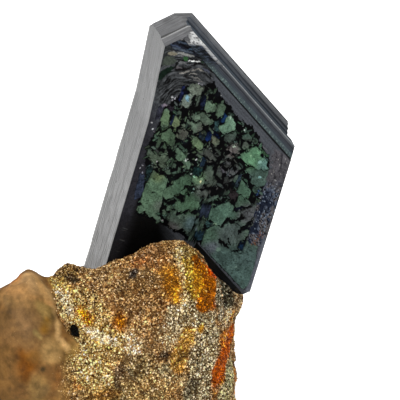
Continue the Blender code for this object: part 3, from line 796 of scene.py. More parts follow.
# Black slots cut right through the plates: half width in mm, path.
blackSlots = (
    (0.34, (223, 163, 230, 172, 242, 177, 256, 181)),
    (0.34, (209, 127, 216, 139, 219, 149, 229, 142, 240, 150, 253, 156)),
    (0.42, (250, 118, 251, 127, 260, 138, 272, 151)), (0.38, (213, 99, 226, 90, 241, 81)),
    (0.26, (232, 105, 236, 95, 241, 89)), (0.22, (246, 74, 256, 78, 266, 80, 269, 77)),
    (0.16, (46, 176, 50, 179, 53, 177)), (0.16, (110, 137, 124, 144)), (0.42, (76, 166, 86, 159, 94, 168)),
    (0.5, (99, 176, 110, 179, 117, 170)), (0.4, (113, 204, 122, 198, 132, 196)),
    (0.16, (200, 273, 210, 277, 220, 272, 227, 267)),
    (0.34, (49, 224, 62, 222, 80, 219, 92, 226, 106, 234, 120, 244)),
    (0.16, (14, 238, 26, 242, 42, 234, 56, 231)), (0.42, (156, 316, 164, 298, 166, 276, 162, 258)),
    (0.28, (154, 171, 174, 174, 192, 184, 210, 193)),
    (0.34, (104, 434, 95, 424, 91, 406, 90, 380, 90, 370)),
    (0.24, (74, 402, 75, 386, 79, 372, 94, 369, 106, 368)), (0.2, (185, 359, 185, 338, 184, 322, 174, 314)),
    (0.12, (192, 356, 191, 336, 194, 324, 206, 323)),
    (0.17, (223, 336, 220, 322, 226, 316, 216, 309, 202, 299)),
    (0.16, (168, 272, 176, 276, 188, 274, 196, 286)), (0.17, (64, 342, 62, 326, 86, 322, 94, 314)),
    (0.42, (31, 129, 39, 124, 48, 129)), (0.16, (149, 190, 151, 182, 152, 174)),
    (0.36, (149, 214, 153, 212, 156, 209)), (0.12, (40, 291, 50, 285, 62, 281)),
    (0.2, (63, 306, 74, 298, 92, 290, 104, 287)), (0.5, (74, 350, 68, 360, 62, 364)),
    (0.18, (44, 376, 50, 369, 46, 360)), (0.16, (24, 318, 30, 314, 27, 304)),
    (0.28, (129, 310, 128, 300, 124, 290)), (0.26, (249, 212, 252, 203, 256, 196)),
    (0.14, (253, 209, 262, 208, 267, 202)), (0.22, (134, 303, 146, 292, 158, 284)),
    (0.34, (216, 259, 226, 250, 236, 241, 237, 232)), (0.4, (172, 216, 170, 206, 174, 199)),
    (0.3, (186, 202, 190, 196, 202, 194)), (0.16, (119, 414, 113, 406, 108, 399)),
    (0.14, (119, 342, 112, 332, 109, 328)), (0.1, (152, 330, 164, 332, 174, 339)),
    (0.13, (254, 297, 262, 293, 270, 287)), (0.2, (283, 234, 287, 230, 290, 226)),
    (0.07, (233, 271, 240, 267, 246, 264)), (0.1, (236, 200, 242, 196, 248, 193)),
)

# Colours that the plates take where they lie: x, z and reach in tenths of a millimetre, then the colour.
plateTints = (
    (50, 175, 40, 84, 110, 88), (69, 155, 14, 82, 86, 82), (50, 213, 12, 96, 112, 78),
    (105, 205, 25, 66, 92, 72), (126, 168, 25, 72, 100, 78), (150, 200, 20, 84, 90, 86),
    (136, 224, 12, 110, 140, 108), (120, 130, 20, 78, 96, 84), (112, 112, 15, 84, 80, 82),
    (142, 126, 14, 80, 100, 104), (195, 155, 30, 76, 104, 90), (190, 100, 20, 78, 104, 88),
    (230, 115, 25, 78, 90, 88), (258, 165, 18, 84, 86, 90), (240, 55, 30, 74, 96, 92),
    (284, 65, 25, 72, 92, 90), (280, 20, 30, 76, 99, 95), (200, 80, 15, 92, 98, 108),
    (228, 215, 22, 72, 100, 82), (255, 245, 25, 74, 96, 88), (230, 290, 25, 88, 128, 98),
    (254, 280, 13, 98, 134, 128), (183, 296, 13, 104, 98, 98), (186, 258, 22, 76, 77, 80),
    (183, 218, 16, 62, 62, 64), (160, 225, 20, 84, 96, 86), (160, 350, 20, 98, 128, 108),
    (170, 324, 14, 72, 84, 78), (198, 340, 20, 80, 104, 92), (206, 318, 14, 84, 92, 84),
    (138, 314, 12, 96, 102, 86), (100, 346, 25, 82, 98, 84), (108, 336, 12, 86, 82, 80),
    (30, 342, 13, 90, 112, 84), (54, 336, 11, 102, 116, 86), (46, 302, 20, 78, 100, 78),
    (74, 315, 12, 80, 80, 74), (110, 298, 16, 92, 112, 84), (140, 280, 16, 84, 88, 84),
    (40, 250, 22, 86, 100, 84), (84, 266, 16, 82, 106, 86), (105, 253, 14, 96, 122, 102),
    (122, 382, 22, 78, 98, 80), (64, 383, 18, 98, 108, 100), (24, 232, 10, 70, 100, 104),
    (74, 414, 16, 96, 104, 94),
)

# The same for the deep gaps between the plates; their blue colours are painted blue glints.
gapTints = (
    (146, 360, 8, 10, 26, 52), (132, 324, 11, 8, 20, 50), (164, 154, 16, 22, 30, 44),
    (173, 100, 10, 14, 30, 40), (264, 216, 9, 18, 32, 58), (266, 86, 8, 8, 24, 42),
    (234, 174, 10, 8, 14, 36), (48, 398, 10, 18, 22, 50), (48, 344, 8, 14, 20, 38),
    (94, 394, 10, 14, 20, 36), (26, 218, 10, 18, 34, 38), (124, 240, 9, 10, 30, 30),
    (130, 264, 10, 12, 24, 32), (116, 316, 8, 18, 30, 40), (194, 198, 12, 10, 20, 18),
    (80, 214, 8, 16, 26, 24), (124, 198, 9, 8, 24, 18), (212, 228, 9, 20, 32, 38),
    (269, 130, 10, 12, 14, 30), (119, 410, 8, 14, 16, 24), (82, 300, 8, 20, 24, 40),
    (186, 172, 6, 10, 12, 28), (214, 210, 8, 28, 22, 26),
)

# Tiny bright flecks on the face, painted glints: x, z and radius in mm, colour.
flecks = (
    (0.9, 22.6, 0.2, 150, 152, 158), (1.2, 23.4, 0.16, 130, 132, 138), (1.7, 21.7, 0.2, 140, 144, 156),
    (0.5, 32.8, 0.22, 170, 172, 176), (1.2, 31.4, 0.24, 176, 180, 184), (1.6, 30.9, 0.14, 120, 116, 120),
    (11.6, 23.3, 0.2, 190, 204, 204), (13.8, 21.9, 0.24, 206, 204, 160), (12.2, 22.7, 0.24, 140, 186, 160),
    (9.5, 26.0, 0.22, 190, 200, 194), (9.9, 26.2, 0.14, 180, 190, 184), (3.8, 24.6, 0.2, 170, 172, 170),
    (11.7, 26.4, 0.18, 170, 176, 176), (9.7, 27.3, 0.16, 130, 140, 140), (18.4, 30.7, 0.26, 150, 166, 150),
    (6.0, 39.3, 0.5, 110, 150, 168), (6.2, 38.6, 0.3, 96, 130, 150), (3.1, 38.8, 0.3, 150, 152, 156),
    (3.7, 38.6, 0.26, 160, 160, 166), (3.3, 38.2, 0.2, 130, 130, 136), (4.1, 38.9, 0.16, 150, 150, 156),
    (2.1, 36.9, 0.4, 116, 108, 120), (1.6, 36.6, 0.26, 100, 96, 112), (15.6, 36.7, 0.3, 150, 176, 160),
    (18.8, 35.2, 0.14, 120, 136, 130), (19.5, 34.5, 0.18, 180, 196, 190), (27.1, 20.4, 0.18, 186, 194, 200),
    (29.0, 25.9, 0.16, 176, 178, 182), (28.3, 26.8, 0.2, 130, 132, 140), (24.6, 28.3, 0.4, 120, 156, 146),
    (25.6, 25.0, 0.3, 110, 146, 144), (12.9, 20.1, 0.18, 120, 150, 140), (12.8, 19.2, 0.12, 130, 160, 148),
    (6.9, 16.0, 0.14, 130, 134, 134), (8.6, 12.0, 0.2, 118, 116, 118), (15.9, 11.3, 0.2, 110, 122, 146),
    (16.3, 8.9, 0.16, 110, 110, 112), (7.4, 42.6, 0.16, 170, 164, 176), (8.2, 42.5, 0.12, 150, 148, 156),
    (12.6, 41.0, 0.1, 160, 162, 162), (9.4, 45.9, 0.2, 140, 140, 136), (11.4, 44.5, 0.24, 110, 130, 116),
    (23.2, 32.0, 0.1, 120, 120, 122), (19.6, 13.1, 0.4, 112, 138, 116), (21.8, 7.6, 0.5, 92, 116, 104),
    (22.2, 29.4, 0.3, 120, 156, 124), (26.6, 4.4, 0.3, 92, 116, 108), (27.7, 17.2, 0.16, 120, 132, 140),
)


def layered(colour, mask, tint):
    # lays a colour over the ones before it, as far as the mask says
    return colour + mask[:, None] * (np.asarray(tint) - colour)


def painted(colour, mask, tone, shade):
    # the same with a named tone of the face, lighter or darker from point to point
    return layered(colour, mask, linear(faceTones[tone]) * np.asarray(shade)[..., None])


def nearPlaces(x, z, outline, margin):
    # numbers of the points inside a shape's box, widened by the margin
    corners = np.asarray(outline)
    low, high = corners.min(axis=0) - margin, corners.max(axis=0) + margin
    return np.flatnonzero((x > low[0]) & (x < high[0]) & (z > low[1]) & (z < high[1]))


def splinter(centre, long, short, rng):
    # four corners that span two lattice headings from the middle, shifted or cut by chance
    first, second = rng.choice(len(shards["headings"]), 2, replace=False)
    angles = np.radians([shards["headings"][first], shards["headings"][second]] + rng.normal(0.0, 5.0, 2))
    u = np.array((math.cos(angles[0]), math.sin(angles[0]))) * rng.uniform(*long)
    v = np.array((math.cos(angles[1]), math.sin(angles[1]))) * rng.uniform(*short)
    corners = np.array([centre + a * u + b * v for a, b in ((-1, -1), (1, -1), (1, 1), (-1, 1))])
    corners = corners + rng.normal(0.0, 0.2 * short[0] + 0.04, (4, 2))
    if rng.uniform() < 0.4:
        cuts = 0.5 * (corners[2:] + corners[[3, 0]])
        corners = np.concatenate([corners[:3], cuts])
    return corners


def shardOutlines(rng):
    # splinters at chance places inside the mosaic, the broad ones first
    low, high = mosaicEdge.min(axis=0), mosaicEdge.max(axis=0)
    made = []
    while len(made) < shards["count"]:
        centre = rng.uniform(low, high)
        if polygonDepth(centre[:1], centre[1:], mosaicEdge)[0] < 0.15:
            continue
        made.append(splinter(centre, shards["long"], shards["short"], rng))
    return sorted(made, key=lambda corners: -np.ptp(corners, axis=0).prod())


def layPlate(x, z, colour, level, outline, tint, high, lean, gap):
    # a black gap round the outline, then the plate itself, which leans by a little from its middle
    near = nearPlaces(x, z, outline, gap + 0.1)
    depth = polygonDepth(x[near], z[near], outline)
    around = ramp(depth, -gap - 0.05, -gap + 0.03)
    colour[near] = painted(colour[near], around, "plateGap", 1.0)
    level[near] += around * (-0.06 - level[near])
    solid = ramp(depth, -0.03, 0.03)
    middle = np.mean(outline, axis=0)
    rise = front["plateLevel"] * high + lean[0] * (x[near] - middle[0]) + lean[1] * (z[near] - middle[1])
    inside = tint(near) if callable(tint) else tint
    colour[near] = layered(colour[near], solid, inside)
    level[near] += solid * (rise - level[near])


def paintFront(x, z):
    # level above the glassy face and colour at each point, laid on in the order of growth
    fall = -(x * capSlope[1] - z * capSlope[0]) - 41.0              # distance across the right cap's lines
    edgeRight = lineHeight("capRight", front["insets"]["capRight"], x) - z    # below the cap's edge
    ragX, ragZ = (0.5 * (obliqueCells(x, z, 0.5, 0.55, seed)[0] - 0.5) for seed in (51, 52))
    warpedX, warpedZ = x + ragX, z + ragZ
    fine = flatNoise(x, z, 0.22, 0.22, 54)
    medium = flatNoise(x, z, 0.7, 0.7, 62)
    coarse = flatNoise(x, z, 2.3, 2.3, 55)

    # glassy black ground, a little lighter down the left
    ground = linear(faceTones["ground"]) + ramp(x, 4.0, 0.6)[:, None] * linear(faceTones["groundLeft"])
    colour = ground * (1.0 + 0.3 * fine[:, None])
    level = 0.012 * coarse

    # violet-grey strip down the left edge
    strip = ramp(x + 0.25 * coarse, 2.6, 1.6) * ramp(z, 8.5, 13.5)
    colour = painted(colour, strip, "leftStrip", 1.0 + 0.35 * fine + 0.3 * medium)

    # brown-grey rim with fine lines along the right cap
    lines = flatNoise(fall, z * 0.12, 0.2, 1.0, 56)
    wideLines = flatNoise(fall, z * 0.1, 0.55, 1.0, 66)
    rim = ramp(x + 0.4 * z, 12.0, 17.5)
    colour = painted(colour, rim, "rim", 1.0 + 0.24 * lines + 0.2 * wideLines + 0.2 * fine)
    level = level + 0.03 * rim * lines

    # upper left fan: brownish lines that bend round the head of the mosaic
    fanX, fanZ = x - fanCentre[0], z - fanCentre[1]
    bend = np.hypot(fanX, fanZ) + 0.5 * flatNoise(x, z, 1.6, 1.6, 67)
    around = np.arctan2(fanZ, fanX)
    fanLines = flatNoise(bend, around * 5.0, 0.2, 1.0, 57) + 0.6 * flatNoise(bend, around * 3.0, 0.5, 1.0, 58)
    inFan = ramp(z + 0.35 * x, 35.5, 38.5) * ramp(fall - 0.6 * flatNoise(x, z, 1.1, 1.1, 59), 2.0, 1.4)
    inFan = inFan * ramp(x, 10.6, 9.4)
    fanShade = np.clip(1.15 + 1.3 * fanLines * (1.0 + medium) + 0.6 * fine + 0.5 * medium, 0.1, 3.6)
    colour = painted(colour, inFan, "fan", fanShade)
    level = level + 0.03 * inFan * fanLines

    # mosaic: the deep ground, chance splinters, panes, the named plates, and the slots through them
    inMosaic = ramp(polygonDepth(warpedX, warpedZ, mosaicEdge), -0.06, 0.06)
    places = np.stack([x, z], 1)
    gapColour = blendedPatches(places, gapTints, linear(faceTones["gaps"])[None] * np.ones((len(x), 1)), 1.6)
    gapColour = gapColour * (1.0 + 0.4 * fine[:, None])
    colour = layered(colour, inMosaic, gapColour)
    level = level * (1.0 - inMosaic) + front["gapLevel"] * inMosaic
    pits = ramp(flatNoise(x, z, 0.3, 0.34, 64) + 0.4 * medium, 0.5, 0.75)
    cracks = ramp(np.abs(flatNoise(x / capSlope[0], z + 0.731 * x, 1.3, 0.8, 65)), 0.035, 0.012)
    cracks = cracks * ramp(medium, -0.1, 0.2)
    mottle = (1.0 + 0.3 * fine + 0.26 * medium) * (1.0 - 0.5 * pits) * (1.0 - 0.7 * cracks)
    mottle = mottle * (1.0 + 0.28 * ramp(z, 30.0, 34.0) * ramp(x, 13.5, 11.5))
    facet = obliqueCells(x, z, 1.5, 1.7, 61)[0]
    plateGround = linear(faceTones["plates"])[None]

    def plateTint(bright):
        # the tint of the place, mottled and faceted
        def tint(near):
            base = blendedPatches(places[near], plateTints, plateGround, 0.06)
            return base * (front["plateShade"] * bright * mottle[near] * (0.72 + 0.56 * facet[near]))[:, None]
        return tint

    paneShade = np.clip(0.76 + 0.75 * medium + 0.5 * fine - 0.5 * pits, 0.06, 1.5)[:, None]
    rng = np.random.default_rng(shards["seed"])
    least, spread, power = shards["bright"]
    for outline in shardOutlines(rng):
        bright = front["plateShade"] * (least + spread * rng.uniform() ** power)
        tone = blendedPatches(outline.mean(axis=0)[None], plateTints, plateGround, 0.06)[0] * bright
        tone = tone * (1.0 + rng.uniform(-0.12, 0.12, 3))
        if len(nearPlaces(x, z, outline, shards["gap"] + 0.1)):
            layPlate(x, z, colour, level, outline, tone, rng.uniform(0.1, 0.5), rng.uniform(-0.03, 0.03, 2),
                     shards["gap"])
    for tone, high, row in darkPanes.values():
        ragged = raggedOutline(inMm(row), 0.9, 0.08, rng)
        panes = linear(tone)[None] * paneShade
        layPlate(x, z, colour, level, ragged, lambda near: panes[near], high, (0.0, 0.0), 0.05)
    for bright, high, row in plates.values():
        ragged = raggedOutline(inMm(row), 0.95, 0.1, rng)
        layPlate(x, z, colour, level, ragged, plateTint(bright), high, rng.uniform(-0.015, 0.015, 2), 0.06)
    for width, row in blackSlots:
        path = inMm(row)
        near = nearPlaces(x, z, path, width + 0.6)
        cut = ramp(strokeDepth(warpedX[near], warpedZ[near], path, width), -0.04, 0.04)
        colour[near] = layered(colour[near], cut, gapColour[near])
        level[near] += cut * (front["gapLevel"] - level[near])
    # the flecks: painted glints
    for place, height, radius, *tone in flecks:
        near = nearPlaces(x, z, [(place, height)], radius + 0.5)
        away = np.hypot(x[near] - place + 0.6 * ragX[near], z[near] - height + 0.6 * ragZ[near])
        colour[near] = layered(colour[near], ramp(away, radius, 0.6 * radius), linear(tone))

    # right rough zone: blue-black speckle low down, brown-grey above, a rust spot and a pale bevel
    grain, lot = obliqueCells(x, z, 0.26, 0.28, 63)
    lot = lot[:, None]
    rough = ramp(x + 0.5 * coarse + 0.4 * medium, 26.9, 27.3) * ramp(z + 0.5 * medium, 9.6, 10.4)
    rough = rough * ramp(z + 0.35 * x, 41.5, 40.5)
    blotch = flatNoise(x, z, 0.8, 1.3, 68) + 0.5 * medium + 0.5 * ramp(x, 28.0, 30.0) - 0.25
    speckle = linear(faceTones["speckle"]) * (0.25 + 1.5 * grain[:, None])
    speckle = painted(speckle, ramp(-blotch, 0.1, 0.4), "speckleDark", 1.0)
    speckle = painted(speckle, ramp(blotch, 0.15, 0.45), "specklePale", 0.35 + 0.9 * grain)
    speckle = np.where(lot > 0.95, linear(faceTones["speckleGlint"]), speckle)
    speckle = np.where(lot < 0.2, linear(faceTones["speckleHole"]), speckle)
    brown = linear(faceTones["brown"]) * (0.6 + 0.55 * grain + 0.25 * medium + 0.15 * fine)[:, None]
    brown = np.where(lot > 0.97, linear(faceTones["brownGlint"]), brown)
    streaks = ramp(flatNoise(x + 0.2 * z, z, 0.4, 1.5, 69) + 0.3 * fine, 0.42, 0.62) * ramp(z, 33.0, 30.0)
    brown = painted(brown, 0.7 * streaks, "brownStreak", 1.0)
    colour = layered(colour, rough, layered(brown, ramp(z + 0.8 * coarse, 25.5, 22.0), speckle))
    level = level + rough * (0.07 * grain - 0.02)
    rust = ramp(strokeDepth(warpedX, warpedZ, ((28.5, 9.9), (29.4, 11.2), (29.9, 13.0)), 0.55), -0.15, 0.1)
    colour = painted(colour, 0.6 * rust * ramp(grain, 0.5, 0.65), "rust", 1.0)
    bevel = ramp(x + 0.1 * coarse, 30.2, 30.7) * ramp(z, 13.0, 10.0)
    colour = painted(colour, bevel, "bevel", 1.0 + 0.25 * fine)

    # strokes of the broken upper left corner, ticks, and the black line under the cap
    for width, tint, rise, row in cornerStrokes.values():
        path = inMm(row)
        near = nearPlaces(x, z, path, width + 0.7)
        mask = ramp(strokeDepth(x[near] + 0.5 * ragX[near], z[near] + 0.4 * ragZ[near], path, width),
                    -0.06, 0.06)
        tone = linear(tint) * (1.0 + 0.25 * fine + 0.3 * lines)[near][:, None]
        colour[near] = layered(colour[near], mask, tone)
        level[near] += rise * mask
    for width, tint, row in tickMarks:
        path = inMm(row)
        near = nearPlaces(x, z, path, width + 0.3)
        mask = ramp(strokeDepth(x[near] + 0.3 * ragX[near], z[near], path, width), -0.04, 0.04)
        colour[near] = layered(colour[near], mask, linear(tint))
    edgeLine = ramp(edgeRight * capSlope[0] + 0.05 * lines, 0.2, 0.1) * ramp(x, 9.5, 11.0)
    colour = painted(colour, edgeLine, "edgeLine", 1.0)
    return np.clip(level, -0.14, 0.3), np.clip(colour, 0.0, 1.0)


fanCentre = (6.5, 37.0)    # the fan's lines bend round this point (x, z)

# Strokes of the broken upper left corner: half width, colour, rise in mm, path.
cornerStrokes = {
    "leftPlain": (1.0, (56, 62, 56), 0.02, (-6, 454, 2, 462, 14, 464)),
    "darkGreen": (0.62, (12, 25, 18), -0.03, (-7, 419, 0, 434, 14, 450)),
    "blackEdge": (0.3, (12, 14, 14), -0.03, (16, 446, 20, 456, 22, 466)),
    "blackShelf": (0.3, (11, 10, 11), -0.04, (20, 446, 36, 449, 52, 456)),
    "greyShelf": (0.28, (72, 70, 72), 0.02, (20, 451, 31, 452)),
    "greyTop": (0.26, (92, 94, 96), 0.02, (22, 462, 36, 463)),
    "zoneGround": (1.35, (26, 29, 37), 0.0, (2, 494, 30, 496, 72, 486)),
    "greyFacet": (0.95, (112, 112, 114), 0.05, (2, 510, 16, 520, 28, 516)),
    "greyEdge": (0.5, (116, 116, 117), 0.03, (-10, 496, 2, 506)),
    "paleBand": (0.3, (112, 114, 112), 0.04, (6, 482, 26, 481, 48, 480)),
    "beige": (0.34, (112, 108, 94), 0.04, (-4, 477, 8, 478, 15, 479)),
    "greyLine": (0.14, (96, 98, 100), 0.02, (18, 476, 28, 475)),
    "blueLow": (0.2, (64, 72, 82), 0.05, (2, 490, 26, 488, 46, 486)),
    "blackLow": (0.1, (16, 18, 20), -0.03, (-9, 486, 6, 485, 16, 482)),
    "blueLeft": (0.16, (58, 68, 88), 0.03, (-2, 495, 9, 494, 18, 492)),
    "blackMid": (0.28, (10, 11, 16), -0.06, (8, 500, 30, 497, 48, 490, 66, 485)),
    "blueMid": (0.2, (64, 80, 96), 0.04, (32, 491, 54, 496, 66, 494)),
    "blackUpper": (0.14, (12, 14, 20), -0.04, (26, 499, 40, 496, 52, 499)),
    "blueHigh": (0.2, (56, 66, 80), 0.05, (8, 504, 28, 503, 42, 501)),
    "blueDeep": (0.3, (28, 38, 58), 0.0, (44, 507, 54, 504, 62, 498)),
    "blackHigh": (0.13, (14, 15, 18), -0.04, (3, 508, 20, 507, 38, 506, 52, 509)),
    "blackRight": (0.16, (10, 12, 18), -0.05, (62, 495, 72, 492, 88, 487)),
    "blackTail": (0.15, (12, 13, 14), -0.05, (50, 479, 70, 479, 84, 473, 93, 472)),
    "greyTail": (0.18, (96, 98, 98), 0.03, (64, 483, 78, 481, 88, 479)),
    "blueTail": (0.2, (96, 104, 120), 0.03, (80, 487, 92, 483)),
    "green": (0.4, (44, 78, 46), 0.02, (29, 474, 34, 472, 37, 469)),
    "greenTail": (0.22, (34, 48, 38), 0.02, (66, 472, 74, 471)),
    "lensBlack": (0.26, (9, 9, 10), -0.06, (38, 462, 52, 462, 64, 468)),
    "lensGrey": (0.13, (78, 80, 84), 0.02, (36, 459, 46, 461, 52, 463)),
    "lensTop": (0.12, (10, 10, 12), -0.03, (39, 472, 50, 474, 64, 477)),
    "lensWhite": (0.13, (206, 210, 210), 0.04, (41, 469, 53, 470, 64, 471)),
    # the next three strokes: painted highlight on the curved broken surface at the top corner
    "highlightHead": (0.3, (206, 208, 208), 0.05, (32, 525, 39, 519, 44, 514)),
    "highlightCurve": (0.2, (190, 192, 192), 0.04, (32, 522, 46, 513, 60, 506)),
    "highlightFringe": (0.2, (150, 152, 152), 0.04, (39, 513, 52, 509)),
    "crestLow": (0.16, (140, 142, 144), 0.03, (64, 502, 84, 489, 102, 475)),
    "archOne": (0.12, (104, 102, 98), 0.03, (52, 449, 64, 456, 76, 452)),
    "archTwo": (0.09, (126, 124, 120), 0.03, (50, 441, 58, 445, 66, 443)),
    "archThree": (0.07, (120, 118, 114), 0.03, (56, 437, 66, 437, 76, 434)),
    "archFour": (0.06, (110, 108, 106), 0.03, (62, 432, 70, 432, 80, 430)),
    "paleSweep": (0.14, (118, 116, 112), 0.03, (30, 440, 40, 443, 50, 449)),
    "blackSweep": (0.16, (18, 17, 18), -0.03, (40, 435, 54, 434, 62, 432)),
    "blackHook": (0.08, (12, 12, 14), -0.03, (80, 466, 92, 463, 97, 462)),
    "greyHook": (0.2, (62, 66, 78), 0.02, (74, 458, 86, 454, 92, 448)),
    "blackClaw": (0.16, (14, 14, 18), -0.03, (90, 452, 93, 446, 93, 441)),
}

# Small light ticks: half width, colour, path.
tickMarks = (
    (0.1, (52, 53, 54), (9, 91, 22, 89)), (0.06, (44, 45, 46), (9, 86, 20, 85)),
    (0.12, (54, 55, 56), (12, 64, 22, 62)), (0.08, (40, 41, 42), (10, 38, 18, 37)),
    (0.07, (120, 130, 126), (180, 412, 190, 405)), (0.07, (90, 90, 94), (240, 318, 256, 308)),
    (0.07, (92, 92, 96), (266, 328, 274, 322)),
)


def frontFinish():
    # the painted colour under a thin gloss, with fine grain that never repeats
    material, tree, shader = newFinish("frontMosaic", 0.02, 0.3)
    space = bladeSpace(tree)
    grain = noise(tree, space, 4.0, 4.0, 0.65)
    colour = shadedBy(tree, attribute(tree, "faceColour"), mapped(tree, grain, 0.3, 0.7, 0.74, 1.26))
    tree.links.new(colour, shader.inputs["Base Color"])
    tree.links.new(mapped(tree, noise(tree, space, 0.8), 0.3, 0.7, 0.22, 0.45), shader.inputs["Roughness"])
    bumped(tree, shader, grain, 0.015 * mm)
    return material


def heldEdge(level):
    # the level with its outermost points brought down to zero, so that neighbouring pieces meet
    edge = np.ones_like(level)
    edge[0] = edge[-1] = 0.0
    edge[:, 0] = edge[:, -1] = 0.0
    return level * edge


def buildFront(finish):
    # one grid, painted as a whole and then parted into strips from left to right
    x, z = faceGrid(front["columns"], front["rows"], front["insets"], front["bottom"])
    level, colour = paintFront(x.ravel(), z.ravel())
    level = heldEdge(level.reshape(x.shape))
    colour = colour.reshape(*x.shape, 3)
    cuts = np.linspace(0, front["columns"] - 1, front["strips"] + 1).astype(int)
    made = []
    for number, (low, high) in enumerate(zip(cuts, cuts[1:])):
        strip = np.s_[:, low:high + 1]
        name = f"frontMosaic{number + 1}"
        sheet, rim = sheetPiece(name, x[strip], z[strip], level[strip], front["under"], (0.0, -1.0))
        tones = colour[strip].reshape(-1, 3)
        paintPoints(sheet, "faceColour", np.concatenate([tones, tones[rim]]))
        sheet.data.materials.append(finish)
        made.append(sheet)
    return made


# The back face, which the photograph doesn't show: broad terraces and the same kind of plates.
back = {
    "columns": 150,
    "rows": 260,
    "bottom": ((-2.0, -4.0), (15.2, -4.0), (16.9, 8.2), (30.1, -0.4), (32.4, 0.2), (34.0, 0.2)),
    "under": 0.4,
    "insets": {"right": -1.2, "capRight": -1.0, "capLeft": 0.45, "top": 0.9},
    "plates": 150,
    "long": (0.5, 2.6),               # mm, half lengths
    "short": (0.35, 1.3),
    "seed": 78,
}
backTerraces = (
    (((3.5, 33.0), (14.0, 29.0), (18.0, 38.0), (9.0, 45.5), (4.0, 44.0)), 0.2),
    (((14.0, 24.0), (24.0, 16.0), (29.0, 18.0), (28.0, 29.0), (20.0, 31.0)), 0.22),
    (((2.5, 12.0), (9.0, 10.0), (13.0, 17.0), (8.0, 26.0), (2.5, 27.0)), 0.14),
    (((18.0, 8.5), (29.0, 1.5), (30.5, 9.0), (22.0, 14.0)), 0.16),
)


def paintBack(x, z):
    # growth lines along the cap, raised terraces with ragged borders, and splintered plates on them
    rng = np.random.default_rng(back["seed"])
    lines = flatNoise(-(x * capSlope[1] - z * capSlope[0]), z * 0.1, 0.3, 1.0, 72)
    fine = flatNoise(x, z, 0.4, 0.4, 73)
    colour = linear(faceTones["back"]) * (1.0 + 0.4 * lines[:, None] + 0.25 * fine[:, None])
    level = 0.03 * lines
    for outline, rise in backTerraces:
        mask = ramp(polygonDepth(x, z, raggedOutline(outline, 0.9, 0.3, rng)), -0.08, 0.08)
        colour = painted(colour, mask, "terrace", 1.0 + 0.3 * fine)
        level = level + rise * 0.45 * mask
        low, high = np.min(outline, axis=0), np.max(outline, axis=0)
        for _ in range(back["plates"] // len(backTerraces)):
            centre = rng.uniform(low, high)
            if polygonDepth(centre[:1], centre[1:], outline)[0] < 0.6:
                continue
            corners = splinter(centre, back["long"], back["short"], rng)
            first = nearPlaces(x, z, corners, 0.2)[0]
            tone = linear(faceTones["backPlates"]) * rng.uniform(0.3, 1.1) * (1.0 + 0.25 * fine[first])
            lean = rng.uniform(-0.015, 0.015, 2)
            layPlate(x, z, colour, level, raggedOutline(corners, 0.6, 0.12, rng), tone,
                     rise / front["plateLevel"] * rng.uniform(0.5, 1.0), lean, 0.09)
    return level, np.clip(colour, 0.0, 1.0)


def buildBack(finish):
    x, z = faceGrid(back["columns"], back["rows"], back["insets"], back["bottom"])
    level, colour = paintBack(x.ravel(), z.ravel())
    level = heldEdge(np.clip(level.reshape(x.shape), -0.1, 0.3)) + 0.02
    sheet, rim = sheetPiece("backTerraces", x, z, level, back["under"], (blade["thickness"], 1.0))
    paintPoints(sheet, "faceColour", np.concatenate([colour, colour[rim]]))
    sheet.data.materials.append(finish)
    return sheet


# The rock in mm: rounded lumps as centre and half-sizes, melted together, seen from its heart.
rock = {
    "heart": (3.0, -1.0, 16.0),
    "blend": 1.4,
    "around": 400,
    "down": 232,
    "baseRings": 5,
    "crowding": 0.35,                # how much closer together the points stand at the front
    "lowest": (1.2, 3.0),            # each turn meets the underside between these angles down from the top
    "reach": 60.0,
    "marches": 60,
    "halvings": 14,
    # relief as height, cell and seed, from coarse to fine; the finest is calmer on the lobe
    "relief": ((0.9, 8.0, 11), (0.55, 3.6, 12), (0.35, 1.7, 13), (0.2, 0.85, 14)),
    # the pit: its path in mm, how wide and how deep it is, and how far its black, which is painted shade,
    # reaches
    "pit": (((-2.9, -13.2, 27.1), (-2.4, -13.9, 25.6)), 1.5, 1.2),
    "pitShade": 0.6,
    # the valley behind the left lobe's edge: the edge's path in (z, x), how deep and wide the valley
    # is, and how far the edge stands proud
    "edge": ((16.0, -0.6), (20.0, -0.8), (22.4, -1.2), (24.8, -2.3), (26.2, -3.4), (28.0, -4.6), (29.4, -5.3),
             (31.0, -6.3), (32.5, -6.6), (34.4, -7.5), (36.2, -9.0), (37.5, -10.2), (39.0, -11.0)),
    "valley": (1.2, 2.4),
    "lip": (0.5, 1.4),
    "gain": 1.12,                    # brightness of the patches together
    "cast": (1.02, 0.99, 0.88),      # and their tint, red, green and blue
    "lobeGain": 0.62,                # and their share of it on the smooth lobe
    # painted shade between the grains
    "shadow": 0.42,                  # how dark the skin is between the grains
}
rockLumps = (
    ((-1.5, 0.0, 10.0), (27.0, 20.0, 19.0)), ((17.0, 1.0, 11.0), (10.6, 16.0, 18.6)),
    ((16.0, -4.5, 28.0), (9.5, 9.0, 13.8)), ((8.0, -5.0, 27.0), (8.0, 8.0, 9.6)),
    ((11.0, -9.0, 16.0), (15.5, 11.0, 19.0)), ((20.5, 10.0, 15.5), (7.4, 11.0, 18.8)),
    ((25.5, 9.0, 23.9), (4.5, 5.5, 4.2)), ((0.0, -3.0, 25.0), (11.0, 9.0, 9.4)),
    ((-15.0, -13.0, 17.0), (13.5, 12.0, 17.5)), ((-11.9, -9.0, 33.1), (2.1, 4.0, 3.0)),
    ((-14.0, -9.5, 30.6), (2.8, 4.0, 2.8)), ((-6.9, -6.6, 31.4), (1.8, 2.6, 2.0)),
    ((23.6, 4.0, 5.0), (4.6, 8.0, 6.5)),
    ((-4.4, -3.0, 33.4), (1.8, 2.1, 2.5)), ((5.0, 12.0, 9.0), (20.0, 12.0, 18.0)),
    ((12.5, 15.5, 19.0), (13.5, 10.0, 14.0)), ((-3.5, 8.0, 18.0), (10.0, 9.0, 11.5)),
    ((-20.0, 2.0, 10.0), (10.5, 14.0, 14.0)),
)

